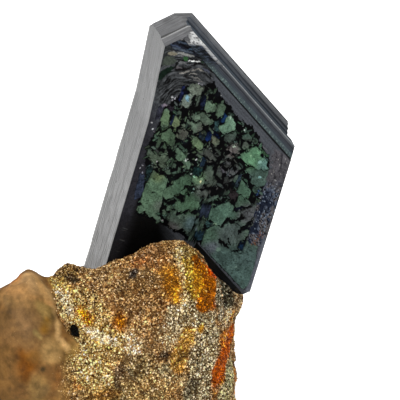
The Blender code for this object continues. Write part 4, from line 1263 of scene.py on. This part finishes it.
# Colours of the rock where they lie: x, y, z and reach in tenths of a millimetre, then the colour.
rockPatches = (
    (22, -106, 339, 50, 144, 107, 64), (102, -126, 347, 50, 118, 85, 47), (0, -40, 360, 40, 140, 106, 64),
    (102, -156, 317, 45, 151, 111, 66), (135, -88, 396, 20, 140, 94, 48), (102, -79, 386, 18, 156, 94, 44),
    (121, -66, 404, 30, 126, 87, 50), (160, -55, 413, 20, 142, 103, 58), (169, -124, 356, 15, 190, 118, 22),
    (180, -82, 398, 8, 200, 186, 130), (179, -112, 373, 8, 214, 200, 150),
    (177, -133, 333, 9, 214, 200, 160), (202, -108, 360, 17, 150, 118, 40),
    (200, -65, 400, 15, 150, 118, 56), (226, -79, 367, 17, 166, 100, 18),
    (226, -103, 345, 20, 176, 104, 14), (230, -116, 320, 18, 170, 98, 14),
    (236, -118, 306, 11, 168, 92, 14), (245, -46, 354, 11, 186, 62, 8), (250, -76, 334, 10, 182, 66, 8),
    (247, -104, 310, 9, 176, 74, 10), (177, -145, 302, 22, 160, 142, 112),
    (190, -151, 283, 26, 158, 140, 112), (220, -146, 259, 28, 156, 138, 108),
    (233, -130, 282, 18, 150, 130, 100), (161, -169, 270, 24, 156, 130, 92),
    (230, -152, 197, 26, 150, 132, 100), (220, -162, 148, 28, 150, 132, 100),
    (277, 43, 278, 35, 112, 92, 68), (298, 57, 250, 25, 140, 108, 70), (265, 0, 310, 30, 84, 68, 48),
    (260, -40, 280, 22, 120, 100, 74), (286, 29, 231, 14, 176, 106, 22), (273, -19, 226, 14, 150, 100, 48),
    (283, -2, 182, 20, 168, 78, 14), (272, -79, 193, 19, 166, 74, 12), (260, -120, 183, 16, 160, 72, 12),
    (248, -138, 159, 13, 160, 76, 16), (242, -144, 136, 10, 166, 100, 30),
    (281, -46, 116, 28, 150, 138, 92), (273, -75, 90, 30, 150, 138, 92), (181, -174, 240, 17, 154, 104, 34),
    (174, -180, 205, 12, 154, 104, 38), (93, -196, 207, 28, 120, 98, 62),
    (122, -200, 165, 32, 152, 119, 72), (151, -191, 200, 16, 140, 116, 78),
    (59, -198, 160, 28, 132, 108, 66), (147, -184, 234, 8, 82, 62, 42), (63, -191, 200, 16, 98, 74, 50),
    (-37, -118, 301, 20, 176, 140, 84), (3, -147, 271, 28, 176, 142, 88), (43, -177, 241, 28, 172, 138, 84),
    (-16, -176, 219, 30, 158, 126, 74), (23, -192, 173, 30, 156, 124, 72),
    (23, -160, 266, 16, 222, 198, 150), (83, -181, 253, 22, 204, 174, 126),
    (-7, -125, 293, 10, 212, 138, 18), (63, -159, 297, 13, 176, 104, 20), (-50, -50, 359, 22, 84, 66, 46),
    (20, -53, 356, 15, 92, 68, 42), (85, -94, 373, 7, 60, 50, 42), (-115, -119, 366, 26, 198, 160, 114),
    (-134, -135, 351, 28, 186, 142, 92), (-111, -190, 310, 34, 144, 110, 70),
    (-130, -209, 297, 34, 136, 102, 64), (-88, -159, 314, 18, 140, 114, 66),
    (-160, -192, 311, 20, 112, 84, 50), (-116, -237, 234, 15, 128, 76, 14),
    (-129, -251, 185, 32, 118, 84, 48), (-100, -240, 186, 22, 150, 120, 74),
    (-68, -209, 255, 22, 176, 142, 92), (-165, -220, 240, 30, 120, 88, 48),
)


def rockDistance(points):
    # the lumps' rough distances, melted: minus the blend times the log of the sum of exp(-distance / blend)
    total = np.zeros(len(points))
    for centre, halfSizes in rockLumps:
        offset = (points - centre) / halfSizes
        distance = (np.sqrt(np.einsum("ij,ij->i", offset, offset)) - 1.0) * min(halfSizes)
        total += np.exp(-np.clip(distance, -20.0, 60.0) / rock["blend"])
    return -rock["blend"] * np.log(total)


def rockRadius(directions):
    # steps in from outside until the melted distance turns negative, then halves the last step
    heart = np.array(rock["heart"])
    reach = np.full(len(directions), rock["reach"])
    unmet = np.arange(len(directions))
    for k in range(rock["marches"]):
        trial = rock["reach"] * (1.0 - k / rock["marches"])
        hit = rockDistance(heart + directions[unmet] * trial) < 0.0
        reach[unmet[hit]] = trial
        unmet = unmet[~hit]
        if not len(unmet):
            break
    low, high = reach, reach + rock["reach"] / rock["marches"]
    for _ in range(rock["halvings"]):
        middle = 0.5 * (low + high)
        hit = rockDistance(heart + directions * middle[:, None]) < 0.0
        low, high = np.where(hit, middle, low), np.where(hit, high, middle)
    return 0.5 * (low + high)


def grooveSide(points):
    # distance in x from the left lobe's edge, positive on the valley's side, wavering a little
    heights, places = np.array(rock["edge"]).T
    return points[:, 0] - np.interp(points[:, 2], heights, places) + 0.4 * latticeNoise(points, 1.6, 15)


def frontShare(points):
    # 1 where the lobe's edge stands free at the front, 0 behind it and at its lower end
    return ramp(points[:, 1], -4.0, -8.0) * ramp(points[:, 2], 22.0, 25.5)


def lobeShare(points):
    # 1 on the smoother lobe at the left, 0 on the rest of the rock; it ends at its free edge sharply
    soft = ramp(-points[:, 0] - 0.25 * (points[:, 1] + 15.0), 3.0, 10.5)
    sharp = ramp(-grooveSide(points), -0.25, 0.25)
    ahead = ramp(points[:, 1] + 3.5 * latticeNoise(points, 4.0, 102), 3.0, -6.0)
    return (soft + frontShare(points) * (sharp - soft)) * ahead


def skinPoints(directions):
    # points of the skin: the melted lumps, rough in several octaves, less the valley and the black pit
    radius = rockRadius(directions)
    points = np.array(rock["heart"]) + directions * radius[:, None]
    calm = 1.0 - 0.6 * lobeShare(points)
    for number, (height, cell, seed) in enumerate(rock["relief"]):
        radius = radius + height * latticeNoise(points, cell, seed) * (calm if number > 2 else 1.0)
    side = grooveSide(points)
    (valley, valleyWidth), (lip, lipWidth) = rock["valley"], rock["lip"]
    step = lip * np.exp(-(side / lipWidth) ** 2) * (side < 0.0)
    step = step + lip * ramp(side, 0.5, 0.0) * (side >= 0.0)
    step = step - valley * np.exp(-(side / valleyWidth) ** 2) * ramp(side, 0.0, 0.5)
    radius = radius + step * frontShare(points)
    path, width, depth = rock["pit"]
    radius = radius - depth * np.exp(-(pathDistance(points, path) / width) ** 2)
    return np.array(rock["heart"]) + directions * radius[:, None]


def rockGrid():
    # directions on a grid of turns round the heart and angles down from straight up; each turn's last
    # angle is found by halving, where the skin meets the flat underside
    share = np.arange(rock["around"]) / rock["around"] * 2.0 * math.pi
    turn = share - rock["crowding"] * np.sin(share + 0.5 * math.pi)

    def rays(down):
        return np.stack([np.sin(down) * np.cos(turn), np.sin(down) * np.sin(turn),
                         np.cos(down) + 0.0 * turn], -1)

    low, high = (np.full(len(turn), angle) for angle in rock["lowest"])
    for _ in range(18):
        middle = 0.5 * (low + high)
        above = skinPoints(rays(middle))[:, 2] > 0.0
        low, high = np.where(above, middle, low), np.where(above, high, middle)
    rows = np.linspace(0.0, 1.0, rock["down"] + 1)[1:, None] * low[None]
    directions = rays(rows).reshape(-1, 3)
    skin = skinPoints(directions).reshape(rock["down"], rock["around"], 3)
    skin[-1, :, 2] = 0.0
    skin[:, :, 2] = np.maximum(skin[:, :, 2], 0.0)
    pole = skinPoints(np.array([[0.0, 0.0, 1.0]]))[0]
    return skin, pole


# Zones of the rock, laid over the patches: reach and softness of the border in mm, colour, share of grains
# painted as bright glints, how strongly the grains vary in tone, and the path as x, y and z in tenths of a
# millimetre.
rockZones = {
    "greySide": (3.3, 0.6, (148, 124, 86), 0.13, 1.7, (190, -141, 307, 220, -138, 288, 240, -126, 251,
        226, -152, 210, 216, -164, 153, 210, -170, 90)),
    "greyLow": (1.9, 0.6, (104, 86, 58), 0.07, 1.5, (202, -174, 160, 196, -179, 130)),
    "band": (1.5, 0.5, (172, 124, 52), 0.1, 1.3, (196, -156, 262, 187, -170, 238, 177, -178, 216)),
    "bandDot": (0.8, 0.4, (170, 118, 34), 0.03, 1.0, (224, -138, 273, 223, -142, 266)),
    # painted shadow of the blade's foot on the rock
    "footShadow": (2.3, 0.5, (82, 70, 48), 0.06, 1.8, (246, 0, 346, 262, 30, 310, 272, 41, 282,
        280, 30, 258)),
    "tearSide": (1.5, 0.5, (118, 100, 72), 0.12, 1.6, (249, -70, 342, 259, -86, 306, 264, -84, 276)),
    "olive": (1.8, 0.5, (150, 112, 36), 0.08, 1.5, (188, -70, 402, 198, -85, 390, 204, -99, 368,
        205, -121, 343)),
    "oliveHigh": (1.2, 0.6, (126, 98, 50), 0.08, 1.5, (186, -62, 406, 192, -72, 399)),
    "tear": (1.75, 0.3, (152, 84, 6), 0.01, 1.1, (217, -70, 384, 227, -81, 368, 231, -96, 348,
        230, -112, 328, 228, -122, 316)),
    "tearGold": (1.1, 0.6, (174, 118, 22), 0.04, 0.9, (216, -92, 364, 217, -113, 340)),
    "rim": (0.7, 0.3, (170, 98, 10), 0.0, 0.6, (242, -64, 347, 246, -84, 335, 242, -104, 317)),
    "rimHot": (0.7, 0.35, (204, 84, 4), 0.0, 0.6, (230, -46, 374, 240, -56, 354)),
    "vein": (0.55, 0.5, (182, 154, 102), 0.34, 1.7, (178, -62, 407, 180, -91, 393, 181, -112, 373,
        186, -126, 349, 194, -134, 326)),
    "glow": (1.9, 1.3, (158, 102, 22), 0.02, 1.0, (161, -114, 372, 168, -125, 355, 169, -132, 340)),
    "glowEdge": (0.5, 0.4, (226, 160, 40), 0.1, 0.8, (173, -128, 349, 175, -135, 333)),
    "stripHigh": (1.2, 0.4, (206, 164, 104), 0.26, 1.9, (282, 24, 234, 273, -38, 232)),
    "strip": (2.6, 0.35, (180, 84, 6), 0.0, 1.0, (290, 40, 176, 286, -2, 182, 278, -70, 188, 268, -112, 180,
        260, -126, 170)),
    "greenSide": (2.2, 0.6, (142, 122, 76), 0.12, 1.7, (286, -5, 131, 277, -66, 122, 264, -111, 110)),
    "knob": (1.8, 0.3, (104, 74, 36), 0.06, 2.1, (-58, -46, 360, -43, -50, 359)),
    "knobShade": (0.8, 0.4, (70, 50, 26), 0.05, 1.6, (-42, -62, 346, -30, -64, 342)),
    # painted shade of a small pit
    "dimpleShade": (0.8, 0.4, (62, 50, 40), 0.08, 1.6, (84, -94, 375, 87, -96, 371)),
    # golden druse in the valley behind the lobe: partly its own colour, partly painted light where the valley
    # faces the lamps
    "goldLit": (2.1, 0.8, (200, 156, 78), 0.22, 1.9, (-70, -78, 346, -40, -102, 320, -24, -122, 300,
        -8, -146, 278, 12, -155, 266, 36, -166, 261, 50, -172, 256)),
    "goldHigh": (1.6, 0.8, (162, 124, 68), 0.14, 1.8, (-16, -94, 330, 12, -120, 310, 42, -142, 292)),
    "goldLow": (2.4, 0.9, (198, 160, 92), 0.14, 1.7, (-16, -170, 230, -4, -186, 196, 18, -184, 204,
        24, -190, 182)),
    "goldFoot": (1.6, 1.2, (170, 132, 78), 0.08, 1.4, (-35, -195, 210, -34, -200, 186, -48, -213, 166)),
    "goldBrown": (1.6, 0.8, (130, 90, 40), 0.04, 1.2, (46, -194, 156, 12, -200, 144)),
    # this zone and the next: pale druse, partly its own colour, partly painted light where the valley faces
    # the lamps
    "paleLitBand": (0.8, 0.5, (226, 198, 142), 0.45, 1.8, (-10, -146, 274, 8, -152, 266, 34, -166, 260,
        52, -172, 256)),
    "paleLitTop": (1.1, 0.8, (206, 176, 120), 0.4, 1.9, (-56, -94, 332, -42, -110, 310, -32, -120, 298)),
    "goldSpot": (1.0, 0.9, (204, 122, 14), 0.08, 1.7, (-16, -122, 302, 2, -134, 286)),
    "orangeSpot": (1.2, 0.9, (148, 86, 9), 0.02, 1.2, (63, -158, 302, 67, -161, 291)),
    "darkFoot": (0.7, 0.4, (96, 74, 46), 0.03, 1.2, (57, -196, 172, 64, -196, 194)),
}

# Places on the smooth lobe: reach, softness of the border, colour, path.
lobeZones = {
    "mauve": (1.6, 1.4, (120, 92, 62), (-131, -187, 320, -114, -208, 297)),
    # painted highlight along the lobe's lit edge
    "edgeHighlight": (0.7, 0.9, (196, 160, 110), (-88, -110, 356, -70, -125, 325, -61, -161, 294,
        -58, -185, 270, -40, -182, 248)),
    "crease": (0.35, 0.6, (166, 124, 78), (-109, -151, 339, -92, -146, 332, -75, -136, 322)),
    "olive": (1.1, 0.8, (134, 110, 66), (-96, -154, 324, -87, -164, 312, -80, -179, 300)),
    "brownGold": (0.8, 0.8, (132, 94, 36), (-84, -195, 291, -81, -178, 300)),
    "paleSpot": (0.35, 0.5, (156, 134, 84), (-91, -209, 281, -99, -208, 289)),
    "orangeRise": (0.9, 1.2, (114, 80, 36), (-124, -234, 248, -98, -234, 249)),
    "orange": (1.1, 1.3, (108, 62, 9), (-129, -230, 254, -120, -237, 233, -120, -239, 216)),
    "rightTop": (1.0, 0.9, (178, 140, 92), (-100, -110, 356, -88, -128, 334)),
    "shade": (2.4, 2.4, (104, 76, 42), (-158, -225, 240, -153, -245, 176)),
    "darkDot": (0.4, 0.3, (62, 50, 30), (-88, -233, 227, -86, -233, 225)),
    "lightDot": (0.35, 0.3, (186, 162, 118), (-50, -213, 187, -50, -213, 185)),
}
zoneWaver = (0.6, 1.3, 95)           # how far the zones' borders waver in mm, the noise's cell, its seed
lobeClouds = ((0.28, 1.7, 96), (0.24, 0.75, 97), (0.2, 0.4, 99))    # the same for the lobe's colour clouds
# the pit's near black is painted shade
rockTones = {"tan": (134, 96, 54), "pale": (152, 120, 76), "brown": (104, 76, 42), "rust": (164, 92, 22),
             "pit": (8, 7, 5)}


def pathDistance(points, path):
    # distance to the nearest of the straight runs between a path's points
    path = np.array(path)
    best = np.full(len(points), 1e9)
    for start, end in zip(path, path[1:]):
        along = end - start
        share = np.clip((points - start) @ along / (along @ along), 0.0, 1.0)
        best = np.minimum(best, np.linalg.norm(points - start - share[:, None] * along, axis=1))
    return best


def pitDistance(points):
    # distance to the pit's path, every point first moved along its ray from the heart to the path's reach
    path, heart = np.array(rock["pit"][0]), np.array(rock["heart"])
    rays = points - heart
    reach = np.linalg.norm(path - heart, axis=1).mean()
    moved = heart + rays * (reach / np.maximum(np.linalg.norm(rays, axis=1), 1e-6))[:, None]
    return pathDistance(moved, path)


def rockTone(points):
    # colour, share of painted glints, contrast of the grains and share of the lobe at each point: the named
    # patches over a ground of tan, brown and rust that noise chooses between, then the zones, and painted
    # shade in crevices and the pit
    drift = latticeNoise(points, 6.0, 81)
    ground = linear(rockTones["tan"])[None] * np.ones((len(points), 1))
    ground = layered(ground, ramp(drift, 0.1, 0.6), linear(rockTones["pale"]))
    ground = layered(ground, ramp(-drift, 0.15, 0.6), linear(rockTones["brown"]))
    ground = layered(ground, ramp(latticeNoise(points, 4.5, 82), 0.42, 0.62), linear(rockTones["rust"]))
    warp = np.stack([latticeNoise(points, 2.2, 83 + k) for k in range(3)], 1)
    colour = rock["gain"] * blendedPatches(points + 0.7 * warp, rockPatches, ground, 0.03, 2.2)
    waver = zoneWaver[0] * latticeNoise(points, *zoneWaver[1:])
    clouds = sum(size * latticeNoise(points, cell, seed) for size, cell, seed in lobeClouds)
    smooth = rock["lobeGain"] * colour
    for reach, soft, tint, row in lobeZones.values():
        inside = ramp(reach - pathDistance(points, inMm(row, 3)) + waver, -soft, soft)
        smooth = layered(smooth, inside, linear(tint))
    smooth = smooth * (1.0 + clouds)[:, None]
    paintedGlints = np.full(len(points), 0.07)
    contrast = np.full(len(points), 1.35)
    for reach, soft, tint, share, strength, row in rockZones.values():
        inside = ramp(reach - pathDistance(points, inMm(row, 3)) + waver, -soft, soft)
        colour = layered(colour, inside, linear(tint))
        paintedGlints = paintedGlints + inside * (share - paintedGlints)
        contrast = contrast + inside * (strength - contrast)
    # painted shade: darker lines of crevices low on the rock
    creviceShade = ramp(np.abs(latticeNoise(points + warp, 2.0, 98)), 0.12, 0.02) * ramp(points[:, 2], 31.0, 25.0)
    mottle = 0.42 * latticeNoise(points + warp, 1.1, 100) + 0.42 * latticeNoise(points, 0.5, 101)
    colour = colour * ((1.0 - 0.5 * creviceShade) * np.exp(mottle))[:, None]
    lobe = lobeShare(points)
    colour = colour + lobe[:, None] * (smooth - colour)
    pit = pitDistance(points)
    # painted shade: the pit laid near black
    colour = layered(colour, ramp(pit, rock["pitShade"], 0.8 * rock["pitShade"]), linear(rockTones["pit"]))
    colour = colour * rock["cast"]
    paintedGlints = paintedGlints * (1.0 - lobe) * ramp(pit, rock["pitShade"], 1.2 * rock["pitShade"])
    return colour, paintedGlints, contrast * (1.0 - 0.6 * lobe), lobe


def rockFinish(name, roughLow, roughHigh, specular, metallic, fleck):
    # the painted colour, flecked with dark and pale grains of two sizes, and a grainy bump
    material, tree, shader = newFinish(name, specular, roughHigh)
    shader.inputs["Metallic"].default_value = metallic
    coordinates = node(tree, "ShaderNodeTexCoord").outputs["Object"]
    flecks = noise(tree, coordinates, 3200.0, 2.0, 0.6)
    clouds = noise(tree, coordinates, 700.0, 4.0, 0.6)
    shade = product(tree, mapped(tree, flecks, 0.3, 0.7, 1.0 - fleck, 1.0 + fleck),
                    mapped(tree, clouds, 0.3, 0.7, 0.8, 1.2))
    tree.links.new(shadedBy(tree, attribute(tree, "rockColour"), shade), shader.inputs["Base Color"])
    tree.links.new(mapped(tree, clouds, 0.35, 0.65, roughLow, roughHigh), shader.inputs["Roughness"])
    bumped(tree, shader, flecks, 0.2 * fleck * mm)
    return material


def buildRockSkin(skin, pole):
    # the grid of the skin, a fan round its top point, and flat rings in to the middle of the underside
    down, around = skin.shape[:2]
    rim = skin[-1]
    centre = np.array([rock["heart"][0], rock["heart"][1], 0.0])
    shares = 1.0 - np.arange(1, rock["baseRings"] + 1) / (rock["baseRings"] + 1)
    rings = centre + (rim - centre)[None] * shares[:, None, None]
    points = np.concatenate([skin.reshape(-1, 3), rings.reshape(-1, 3), pole[None], centre[None]])
    index = np.arange((down + rock["baseRings"]) * around).reshape(-1, around)
    beside = np.roll(index, -1, axis=1)
    quads = np.stack([index[:-1], index[1:], beside[1:], beside[:-1]], -1).reshape(-1, 4)
    top, under = index.size, index.size + 1
    fanTop = np.stack([index[0], beside[0], np.full(around, top)], 1)
    fanLow = np.stack([beside[-1], index[-1], np.full(around, under)], 1)
    piece = meshPiece("rockSkin", points * mm, quads, np.concatenate([fanTop, fanLow]))
    colour, _, _, lobe = rockTone(points)
    # painted shade: the skin between the grains is darkened, except on the lobe
    paintPoints(piece, "rockColour", colour * (rock["shadow"] + (1.0 - rock["shadow"]) * lobe)[:, None])
    piece.data.materials.append(rockFinish("rockGround", 0.45, 0.85, 0.08, 0.0, 0.1))
    return piece


# Tiny crystals that crust the rock: pieces of rhombs, then pieces of three-sided points.
druse = {
    "crusts": (("rhomb", 16000), ("rhomb", 16000), ("point", 48000), ("point", 48000), ("point", 48000)),
    "rhombSize": (0.08, 0.19),        # mm, half an edge
    "pointSize": (0.1, 0.23),         # mm, from the middle to a corner
    "lobeSize": 0.6,                  # share of the size on the smoother lobe
    "backShare": 0.35,                # how dense the crust is away from the front
    "lift": (-0.35, 0.35),            # how far a grain's middle stands out of the skin, in its own sizes
    "lobeSink": (1.15, 1.8),          # and how much deeper it sits on the lobe
    "powers": (1.8, 1.9),             # of the chances that spread size and tone: most are small and dark
    # painted glints: some grains take a near-white colour that stands for light caught by a facet
    "sparkShare": 0.92,               # how fully a glint takes its bright colour
    "squash": 0.78,                   # along a body diagonal, which makes a cube a rhomb
    # the spread of the grains' tones is partly their own differing tones and partly painted light and shade
    # on their facets
    "dark": 0.36,                     # brightness of the darkest grains, and how much the brightest add
    "bright": 2.4,
    "fading": (1.0, 1.28, 1.64),       # how fast red, green and blue fall off towards the dark grains
    "sparkFade": 0.42,                # how much of the rock's own tint the brightest grains keep
    "seed": 90,
}


def insideBlade(points, swell):
    # true for points, in mm, that lie inside the blade's outline and thickness
    local = (points - np.array(blade["seat"])) @ bladeTurn
    starts, _, inwards = sideLines(slabInsets(local[:, 1]))
    offset = local[:, None, ::2] - starts
    depth = np.einsum("ijk,jk->ij", offset, inwards).min(axis=1)
    return (depth > -swell) & (local[:, 1] > -swell) & (local[:, 1] < blade["thickness"] + swell)


def grainShapes():
    # corners and faces of both kinds of grain, about their middles
    cube = np.array([(x, y, z) for x in (-1, 1) for y in (-1, 1) for z in (-1, 1)], float)
    diagonal = np.ones(3) / math.sqrt(3.0)
    rhomb = cube + (druse["squash"] - 1.0) * (cube @ diagonal)[:, None] * diagonal
    rhombFaces = np.array([(0, 1, 3, 2), (4, 6, 7, 5), (0, 4, 5, 1), (2, 3, 7, 6), (0, 2, 6, 4),
                           (1, 5, 7, 3)])
    point = np.array([(1, 1, 1), (1, -1, -1), (-1, 1, -1), (-1, -1, 1)]) / math.sqrt(3.0)
    pointFaces = np.array([(0, 1, 2), (0, 3, 1), (0, 2, 3), (1, 3, 2)])
    return {"rhomb": (rhomb, rhombFaces, druse["rhombSize"]),
            "point": (point, pointFaces, druse["pointSize"])}


def randomTurns(rng, total):
    # rotation matrices of random unit quaternions
    q = rng.normal(size=(total, 4))
    w, i, j, k = (q / np.linalg.norm(q, axis=1, keepdims=True)).T
    return np.stack([1 - 2 * (j * j + k * k), 2 * (i * j - k * w), 2 * (i * k + j * w),
                     2 * (i * j + k * w), 1 - 2 * (i * i + k * k), 2 * (j * k - i * w),
                     2 * (i * k - j * w), 2 * (j * k + i * w), 1 - 2 * (i * i + j * j)], 1).reshape(-1, 3, 3)


def grainSeats(skin):
    # each cell of the skin with its outward direction, and its chance to carry a grain, which follows
    # its area and is higher towards the front
    beside = np.roll(skin, -1, axis=1)
    normal = np.cross(skin[1:] - skin[:-1], beside[:-1] - skin[:-1])
    area = np.linalg.norm(normal, axis=2)
    normal = normal / np.maximum(area, 1e-9)[..., None]
    middle = 0.25 * (skin[:-1] + skin[1:] + beside[:-1] + beside[1:])
    if np.mean(np.sum(normal * (middle - np.array(rock["heart"])), axis=2)) < 0.0:
        normal = -normal
    facing = ramp(-normal[..., 1] + 0.4 * normal[..., 2], -0.2, 0.3)
    chance = (area * (druse["backShare"] + (1.0 - druse["backShare"]) * facing)).ravel()
    chance[insideBlade(middle.reshape(-1, 3), -0.1)] = 0.0
    return normal, chance / chance.sum()


def buildDruse(skin, finish):
    # grains at chance places of the skin, turned at random and toned one by one; they sit about half in the
    # skin, and nearly whole on the lobe
    rng = np.random.default_rng(druse["seed"])
    normal, chance = grainSeats(skin)
    shapes = grainShapes()
    around = skin.shape[1]
    made = []
    for number, (kind, total) in enumerate(druse["crusts"]):
        shape, shapeFaces, (sizeLow, sizeHigh) = shapes[kind]
        row, column = np.divmod(rng.choice(len(chance), total, p=chance), around)
        u, v = rng.uniform(0.0, 1.0, (2, total, 1))
        nextColumn = (column + 1) % around
        place = ((skin[row, column] * (1 - u) + skin[row, nextColumn] * u) * (1 - v)
                 + (skin[row + 1, column] * (1 - u) + skin[row + 1, nextColumn] * u) * v)
        base, paintedGlints, contrast, lobe = rockTone(place)
        size = sizeLow + (sizeHigh - sizeLow) * rng.uniform(0.0, 1.0, total) ** druse["powers"][0]
        size = size * (1.0 - (1.0 - druse["lobeSize"]) * lobe)
        lift = size * (rng.uniform(*druse["lift"], total) - rng.uniform(*druse["lobeSink"], total) * lobe)
        place = place + normal[row, column] * lift[:, None]
        place[:, 2] = np.maximum(place[:, 2], size * 1.8)
        # partly the grains' own tones, partly painted light and shade on their facets
        tone = druse["dark"] + druse["bright"] * rng.uniform(0.0, 1.0, total) ** druse["powers"][1]
        tone = np.maximum(1.0 + contrast * (tone - 1.0), 0.1)
        colour = base * tone[:, None] ** np.array(druse["fading"])
        # painted glints: the grains that chance picks take a pale tint of the rock's colour
        glintColour = (base / np.maximum(base.max(axis=1, keepdims=True), 1e-6)) ** druse["sparkFade"]
        bright = druse["sparkShare"] * (rng.uniform(0.0, 1.0, total) < paintedGlints)
        colour = colour + bright[:, None] * (glintColour - colour)
        corners = np.einsum("nij,cj->nci", randomTurns(rng, total), shape)
        corners = corners * size[:, None, None] + place[:, None]
        faces = shapeFaces[None] + len(shape) * np.arange(total)[:, None, None]
        faces = faces.reshape(-1, shapeFaces.shape[1])
        side = "quads" if kind == "rhomb" else "triangles"
        piece = meshPiece(f"drusyCrust{number + 1}", corners.reshape(-1, 3) * mm, smooth=False,
                          **{side: faces})
        paintPoints(piece, "rockColour", np.repeat(np.clip(colour, 0.0, 1.0), len(shape), axis=0))
        piece.data.materials.append(finish)
        made.append(piece)
    return made


# Floor, light and camera
studio = {
    "floorRadius": 0.42,
    "floorPoints": 96,
    "floorGlow": 0.72,
    "world": (0.30, 0.31, 0.33),
    "worldStrength": 0.6,
    # lights as place, size across and up, watts and colour
    "lights": {
        "leftSoft": ((-0.55, 0.30, 0.50), 0.5, 0.5, 2.4, (1.0, 1.0, 1.0)),
        "topSoft": ((0.05, -0.10, 0.75), 0.4, 0.4, 2.2, (1.0, 0.99, 0.97)),
        "frontSoft": ((0.35, -0.65, 0.40), 0.35, 0.35, 1.5, (1.0, 0.98, 0.95)),
        "sparkle": ((-0.30, -0.50, 0.55), 0.07, 0.07, 2.6, (1.0, 0.96, 0.9)),
    },
    "aim": (0.010, 0.0, 0.035),
}
view = {
    "target": (0.022, 0.0, 0.049),
    "elevation": 20.0,               # degrees, looking down
    "distance": 0.45,
    "frameWidth": 0.080,             # metres across the picture at the target
    "sensor": 36.0,
}


def buildFloor():
    # a pale disc: a ring of points round its middle, faintly glowing so that it stays white
    around = studio["floorPoints"]
    angle = np.arange(around) / around * 2.0 * math.pi
    points = studio["floorRadius"] * np.stack([np.cos(angle), np.sin(angle), 0.0 * angle], 1)
    mesh = bpy.data.meshes.new("floor")
    mesh.from_pydata(points.tolist(), [], [list(range(around))])
    floor = bpy.data.objects.new("floor", mesh)
    bpy.context.scene.collection.objects.link(floor)
    material, _, shader = newFinish("paleFloor", 0.1, 0.8)
    shader.inputs["Base Color"].default_value = (0.9, 0.9, 0.9, 1.0)
    shader.inputs["Emission Color"].default_value = (1.0, 1.0, 1.0, 1.0)
    shader.inputs["Emission Strength"].default_value = studio["floorGlow"]
    mesh.materials.append(material)


def buildLights():
    world = bpy.data.worlds.new("softRoom")
    world.use_nodes = True
    background = world.node_tree.nodes["Background"]
    background.inputs["Color"].default_value = (*studio["world"], 1.0)
    background.inputs["Strength"].default_value = studio["worldStrength"]
    bpy.context.scene.world = world
    for name, (place, width, height, watts, colour) in studio["lights"].items():
        lamp = bpy.data.lights.new(name, "AREA")
        lamp.shape = "RECTANGLE"
        lamp.size, lamp.size_y = width, height
        lamp.energy = watts
        lamp.color = colour
        holder = bpy.data.objects.new(name, lamp)
        holder.location = place
        holder.rotation_euler = (Vector(studio["aim"]) - Vector(place)).to_track_quat("-Z", "Y").to_euler()
        bpy.context.scene.collection.objects.link(holder)


def buildCamera():
    tilt = math.radians(view["elevation"])
    target = Vector(view["target"])
    camera = bpy.data.objects.new("camera", bpy.data.cameras.new("camera"))
    camera.data.sensor_width = view["sensor"]
    camera.data.lens = view["sensor"] * view["distance"] / view["frameWidth"]
    camera.data.clip_start = 0.01
    camera.location = target + view["distance"] * Vector((0.0, -math.cos(tilt), math.sin(tilt)))
    camera.rotation_euler = (math.radians(90.0) - tilt, 0.0, 0.0)
    bpy.context.scene.collection.objects.link(camera)
    bpy.context.scene.camera = camera
    bpy.context.scene.view_settings.view_transform = "Standard"


body = buildBody()
print("blade body built")
faceFinish = frontFinish()
frontSheets = buildFront(faceFinish)
print("front mosaic built")
backSheet = buildBack(faceFinish)
print("back terraces built")
skin, pole = rockGrid()
skinPiece = buildRockSkin(skin, pole)
print("rock skin built")
crust = buildDruse(skin, rockFinish("drusyGrains", 0.22, 0.5, 0.08, 0.22, 0.32))
print("drusy crust built")

for piece in (body, *frontSheets, backSheet):
    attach(piece, "root")
    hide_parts("vivianite_crystal")
for piece in (skinPiece, *crust):
    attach(piece, "root")
    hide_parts("matrix")

buildFloor()
buildLights()
buildCamera()
print("floor, lights and camera placed")
